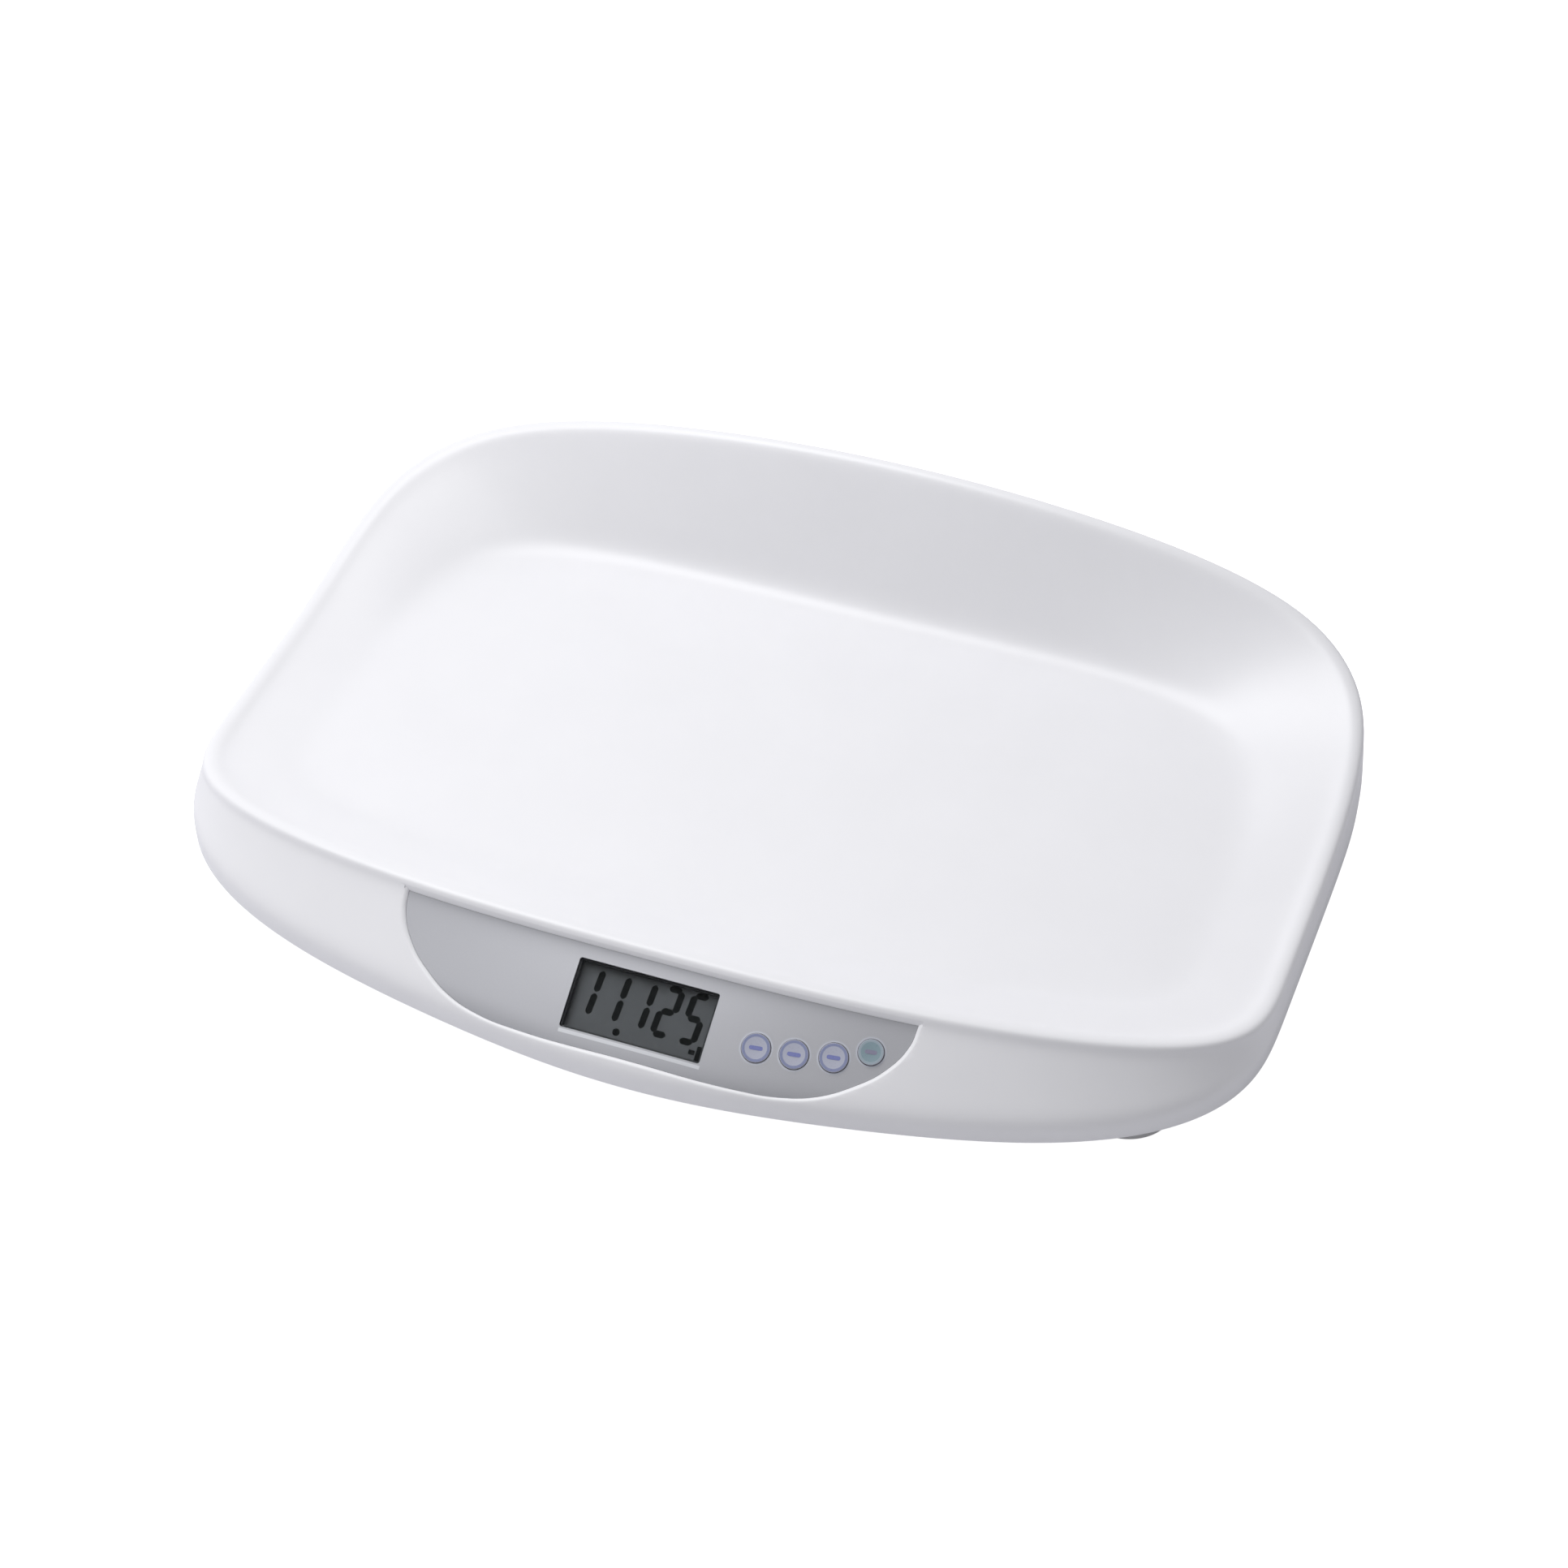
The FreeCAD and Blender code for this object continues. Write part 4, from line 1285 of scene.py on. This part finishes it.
@dataclass
class Key:
    """One round push key with a printed ring, in millimetres of the keys' frame.

    Each of the steps gives how far in a ring of the face lies, how far it sinks and the number
    of its finish, for a key of the radius steps_radius.
    """

    name: str
    spot: Pair
    radius: float
    colours: KeyColours
    face_height: float = -0.5
    body_low: float = -4.1
    steps: tuple[tuple[float, float, int], ...] = (
        (0.25, 0.0, 1), (1.0, 0.0, 1), (0.3, -0.04, 2), (0.8, -0.06, 2), (1.2, -0.1, 2),
        (1.2, -0.08, 2))
    steps_radius: float = 6.8
    edge_drop: float = 0.25
    flange: Triple = (1.0, 0.8, -4.5)
    hole_gap: float = 0.3
    hole_cut: Pair = (-9.0, 5.0)
    mark_size: Triple = (0.95, 1.9, 0.06)
    mark_corner: float = 0.9
    mark_sink: float = 0.2
    sides: int = 96
    crease: float = 40.0

    def centre(self, at: Matrix) -> Vector:
        """Middle of the key on the panel, in metres."""
        return at @ Vector((self.spot[0] * MM, self.spot[1] * MM, 0))

    def hole_tool(self, at: Matrix) -> Piece:
        """Builds the shape of the key's hole through the front.

        Args:
            at: the keys' frame.

        Returns:
            The tool.
        """
        tool = drum(self.radius + self.hole_gap, *self.hole_cut, "hole_" + self.name,
                    self.spot, self.sides)
        return place(tool, at)

    def cap(self, at: Matrix, *finishes: Material) -> Piece:
        """Builds the key: a rounded edge, a printed ring and a dished middle, over a flange.

        Args:
            at: the keys' frame.
            *finishes: of the body, the ring and the middle.

        Returns:
            The key.
        """
        name = self.name + "_cap"
        piece = drum(self.radius, self.body_low, self.face_height, name, self.spot, self.sides)
        dress(piece, *finishes)
        pick(piece, Part.FACES, lambda face: face.normal.z > FACING)
        scale = self.radius / self.steps_radius
        for inset, sink, finish in self.steps:
            bpy.ops.mesh.inset(thickness=inset * scale * MM)
            piece.active_material_index = finish
            bpy.ops.object.material_slot_assign()
            bpy.ops.transform.translate(value=(0, 0, sink * MM))
        turn_outward()
        for vertex in piece.data.vertices:
            x, y, z = vertex.co / MM
            away = math.hypot(x - self.spot[0], y - self.spot[1])
            if z > self.face_height - CLOSE and away > self.radius - CLOSE:
                vertex.co.z -= self.edge_drop * MM
        reach, thickness, height = self.flange
        side = 2 * (self.radius + reach)
        flange = block((side, side, thickness), (*self.spot, height), "flange")
        dress(flange, finishes[0])
        return smooth(place(join([piece, flange], name), at), self.crease)

    def mark_piece(self, at: Matrix) -> Piece:
        """Builds the plain printed bar in the middle of the key.

        Args:
            at: the keys' frame.

        Returns:
            The bar.
        """
        share, tall, thick = self.mark_size
        bar = block((self.radius * share, tall, thick),
                    (*self.spot, self.face_height - self.mark_sink),
                    self.name + "_mark", corner=self.mark_corner)
        return place(bar, at)


# ---------------- feet

@dataclass
class Foot:
    """Rubber pad with a tread, in millimetres: each groove is an inset and a step up or down."""

    corner: str
    spot: Pair
    radius: float = 20.0
    pad: float = 2.4
    grooves: tuple[Pair, ...] = (
        (3.0, 0.0), (0.4, 0.7), (1.6, 0.0), (0.4, -0.7), (3.0, 0.0), (0.4, 0.7), (1.6, 0.0),
        (0.4, -0.7))
    soft_edge: float = 0.25
    edge_steps: int = 2
    sides: int = 72
    crease: float = 40.0

    def tread(self) -> Piece:
        """Builds the pad: a disc with a softened edge and ring grooves in its underside.

        Returns:
            The pad.
        """
        piece = drum(self.radius, 0, self.pad, self.corner + "_pad_tread", self.spot, self.sides)
        pick(piece, Part.FACES, lambda face: face.normal.z < -FACING)
        for inset, sink in self.grooves:
            bpy.ops.mesh.inset(thickness=inset * MM)
            if sink:
                bpy.ops.transform.translate(value=(0, 0, sink * MM))
        turn_outward()
        apply_modifier(piece, "BEVEL", width=self.soft_edge * MM, segments=self.edge_steps,
                       limit_method="ANGLE")
        return smooth(piece, self.crease)


# ---------------- studio

@dataclass
class Studio:
    """Pale floor, soft light and the camera, in metres and degrees.

    Each lamp has its name, its place, its size and its power in watts. The air is brighter
    away from dim_side, and air gives both ends of its strength.
    """

    stand: Triple = (0.4818, -1.2713, 1.2807)
    azimuth: float = 20.40
    elevation: float = 42.39
    focal_mm: float = 85.7
    sensor_mm: float = 36.0
    sight: float = 50.0
    floor_size: float = 12.0
    air_colour: Colour = (0.975, 0.975, 1.0, 1.0)
    air: Pair = (0.78, 0.2)
    backdrop: float = 1.05
    dim_side: Triple = (0.8, -0.6, 0.0)
    lamps: tuple[tuple[str, Triple, float, float], ...] = (
        ("key_light", (-0.45, 0.1, 1.25), 0.8, 8.2),
        ("side_light", (-1.25, -0.4, 1.6), 0.8, 4.0))

    def floor(self) -> None:
        """Adds the floor."""
        bpy.ops.mesh.primitive_plane_add(size=self.floor_size)
        sheet = settle(bpy.context.object, "studio_floor")
        dress(sheet, WhitePaper("white_paper").material())

    def lights(self) -> None:
        """Adds a broad light overhead, a weaker one at the left, and air dimmer at one side."""
        world = bpy.data.worlds.new("studio_air")
        bpy.context.scene.world = world
        tree = emptied(world)
        way = add_node(tree, "ShaderNodeTexCoord")
        side = add_node(tree, "ShaderNodeVectorMath",
                        {"operation": "DOT_PRODUCT", 1: self.dim_side},
                        {0: way.outputs["Generated"]})
        strength = add_node(tree, "ShaderNodeMapRange",
                            {"From Min": -1.0, "To Min": self.air[0], "To Max": self.air[1]},
                            {"Value": side.outputs["Value"]})
        ray = add_node(tree, "ShaderNodeLightPath")
        seen = add_node(tree, "ShaderNodeMix", {FLOAT_B: self.backdrop},
                        {0: ray.outputs["Is Camera Ray"], FLOAT_A: strength.outputs["Result"]})
        air = add_node(tree, "ShaderNodeBackground", {"Color": self.air_colour},
                       {"Strength": seen.outputs[0]})
        add_node(tree, "ShaderNodeOutputWorld", {}, {"Surface": air.outputs["Background"]})
        for name, spot, size, power in self.lamps:
            bpy.ops.object.light_add(type="AREA", location=spot)
            lamp = bpy.context.object
            lamp.name = name
            lamp.data.size = size
            lamp.data.energy = power
            lamp.rotation_euler = (-Vector(spot)).to_track_quat("-Z", "Y").to_euler()

    def camera(self) -> None:
        """Adds the camera."""
        turn = (math.radians(90 - self.elevation), 0, math.radians(self.azimuth))
        bpy.ops.object.camera_add(location=self.stand, rotation=turn)
        camera = bpy.context.object
        camera.data.lens = self.focal_mm
        camera.data.sensor_width = self.sensor_mm
        camera.data.clip_end = self.sight
        bpy.context.scene.camera = camera
        bpy.context.scene.view_settings.view_transform = "Standard"


# ---------------- putting it together

KEYS = (
    Key("hold", (-22.8, -2.8), 6.8, KeyColours.BLUE),
    Key("zero", (-4.9, -2.9), 6.8, KeyColours.BLUE),
    Key("unit", (13.4, -1.3), 6.8, KeyColours.BLUE),
    Key("power", (29.9, 4.0), 6.0, KeyColours.TEAL),
)
WINDOW_TOP = -2.1
PAD = "_foot_pad"


def put(piece: Piece, body: str, slot: str, *nodes: str) -> Piece:
    """Lets a piece ride on a body, and hides the nodes that it stands for.

    Args:
        piece: the piece.
        body: the body that carries it.
        slot: its slot; not used.
        *nodes: the nodes that it stands for.

    Returns:
        The same piece.
    """
    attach(piece, body)
    if nodes:
        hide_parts(*nodes)
    LOG.info("%s rides on %s", piece.name, body)
    return piece


def rubber(name: str) -> Material:
    """Moulded rubber: dark grey and nearly dull, with a coarser grain that catches the light."""
    return MouldedPlastic(name, "#4A4B4E", roughness=0.75, grain_mm=0.6, grain=0.15).material()


def dress_nodes() -> None:
    """Gives each CAD node that stays visible its finish."""
    # ABS of the base: satin, so the base looks a shade duller than the tray.
    white = MouldedPlastic("satin_abs_base", "#E9E9EC", roughness=0.5, grain=0.08).material()
    # Nylon: milky and soft in its gloss, pale grey in the feet and carriers, cream in the block.
    grey = MouldedPlastic("natural_nylon", "#D6D6D6", roughness=0.5).material()
    cream = MouldedPlastic("cream_nylon", "#E8E2D0", roughness=0.45).material()
    # Glass-fibre laminate under green solder mask: a thin clear gloss over the green.
    board = MouldedPlastic("solder_mask_laminate", "#1D5B33", roughness=0.3, clear=0.3).material()
    # Moulding resin of small parts and ABS of the display's frame: black with a grey sheen.
    black = MouldedPlastic("black_resin", "#1A1A1C", roughness=0.45).material()
    black_frame = MouldedPlastic("black_abs_frame", "#2A2B2F", roughness=0.5).material()
    # Silicone elastomer of the contact strip: pink and matt.
    strip = MouldedPlastic("layered_elastomer", "#D9A5AE", roughness=0.6).material()
    # Zinc and nickel plating: bright metal, the nickel smoother and a little warmer.
    steel = PlatedMetal("zinc_plated_steel").material()
    nickel = PlatedMetal("nickel_strip", "#D2CFC8", 0.22).material()
    # Printed film of the cells: dark and glossy.
    wrap = MouldedPlastic("printed_cell_wrap", "#39404C", roughness=0.3, clear=0.5).material()
    # Reflective liquid crystal behind glass: a flat grey that hardly mirrors.
    lcd = MouldedPlastic("liquid_crystal_glass", "#605F62", roughness=0.4, shade=0.1, grain=0.0,
                         shine=0.1).material()
    pads = rubber("grey_rubber")
    finishes = {
        "base_cover": white, "battery_door": white, "display_holder": black_frame,
        "display_glass": lcd, "display_window": ClearAcrylic("clear_acrylic").material(),
        "contact_strip": strip, "control_board": board, "key_board": board,
        "key_switches": black, "board_screws": steel, "board_components": black,
        "lead_terminals": cream, "buzzer": black, "housing_screws": steel,
        "battery_cells": wrap, "battery_contacts": nickel, "load_cell_carriers": grey,
    }
    for name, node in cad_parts.items():
        by_kind = pads if "pad" in name else steel if "load_cell" in name else grey
        finish = finishes.get(name, by_kind)
        dress(node, finish)
        LOG.info("%s is finished in %s", name, finish.name)


def build_front() -> None:
    """Builds the tray, the panel, the reading and the keys."""
    moulding = Moulding()
    surface = moulding.solid("surface", 0, moulding.skirt_z)
    face = Face(BVHTree.FromObject(surface, bpy.context.evaluated_depsgraph_get()))
    bpy.data.objects.remove(surface)
    display_frame = frame_of("display_window", (0, 0), WINDOW_TOP)
    key_frame = frame_of("hold_button", KEYS[0].spot, KEYS[0].face_height)

    key_tools = [key.hole_tool(key_frame) for key in KEYS]
    shell, panel = Tray(moulding).build(display_frame, face, key_tools)
    # Satin white ABS: a soft, even white with a faint grain in its gloss.
    white = MouldedPlastic("satin_white_abs", "#F5F5F8", roughness=0.36, grain=0.05, shade=0.015)
    put(dress(shell, white.material()), "housing", "white_plastic", "tray_shell")
    halos = tuple((key.centre(key_frame), key.radius) for key in KEYS)
    # The film's halos round the keys are print; its pale line below the window is a painted
    # highlight.
    silver = SilverOverlay("silver_printed_film", halos, display_frame)
    put(dress(panel, silver.material()), "housing", "panel_silver", "display_panel")

    # Switched liquid crystal: black, with next to no gloss.
    ink = MouldedPlastic("liquid_crystal_black", "#08090B", roughness=0.5, grain=0.0, shine=0.05)
    put(dress(Display().figures(display_frame), ink.material()), "housing", "lcd")

    # Polycarbonate keys printed on the face: the print takes on the plastic's low gloss.
    key_body = MouldedPlastic("key_frosted_plastic", "#B9BAC4", roughness=0.3).material()
    for key in KEYS:
        ring, middle, mark = (
            MouldedPlastic(f"{key.name}_{part}_print", colour, roughness=0.3).material()
            for part, colour in zip(("ring", "middle", "mark"), key.colours.value))
        body = key.name + "_button"
        slot = "key_teal" if key.colours is KeyColours.TEAL else "key_blue"
        put(key.cap(key_frame, key_body, ring, middle), body, slot, body)
        put(dress(key.mark_piece(key_frame), mark), body, slot)


def build_feet() -> None:
    """Builds the treads under the four feet."""
    finish = rubber("tread_rubber")
    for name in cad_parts:
        if name.endswith(PAD):
            corner = name[:-len(PAD)]
            low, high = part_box(name)
            middle = ((low.x + high.x) / 2 / MM, (low.y + high.y) / 2 / MM)
            tread = Foot(corner, middle).tread()
            put(dress(tread, finish), corner + "_foot", "rubber_grey", name)


def main() -> None:
    """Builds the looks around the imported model, class by class."""
    logging.basicConfig(level=logging.INFO, format="%(message)s")
    dress_nodes()
    build_front()
    build_feet()
    studio = Studio()
    studio.floor()
    studio.lights()
    studio.camera()


if __name__ == "__main__":
    main()
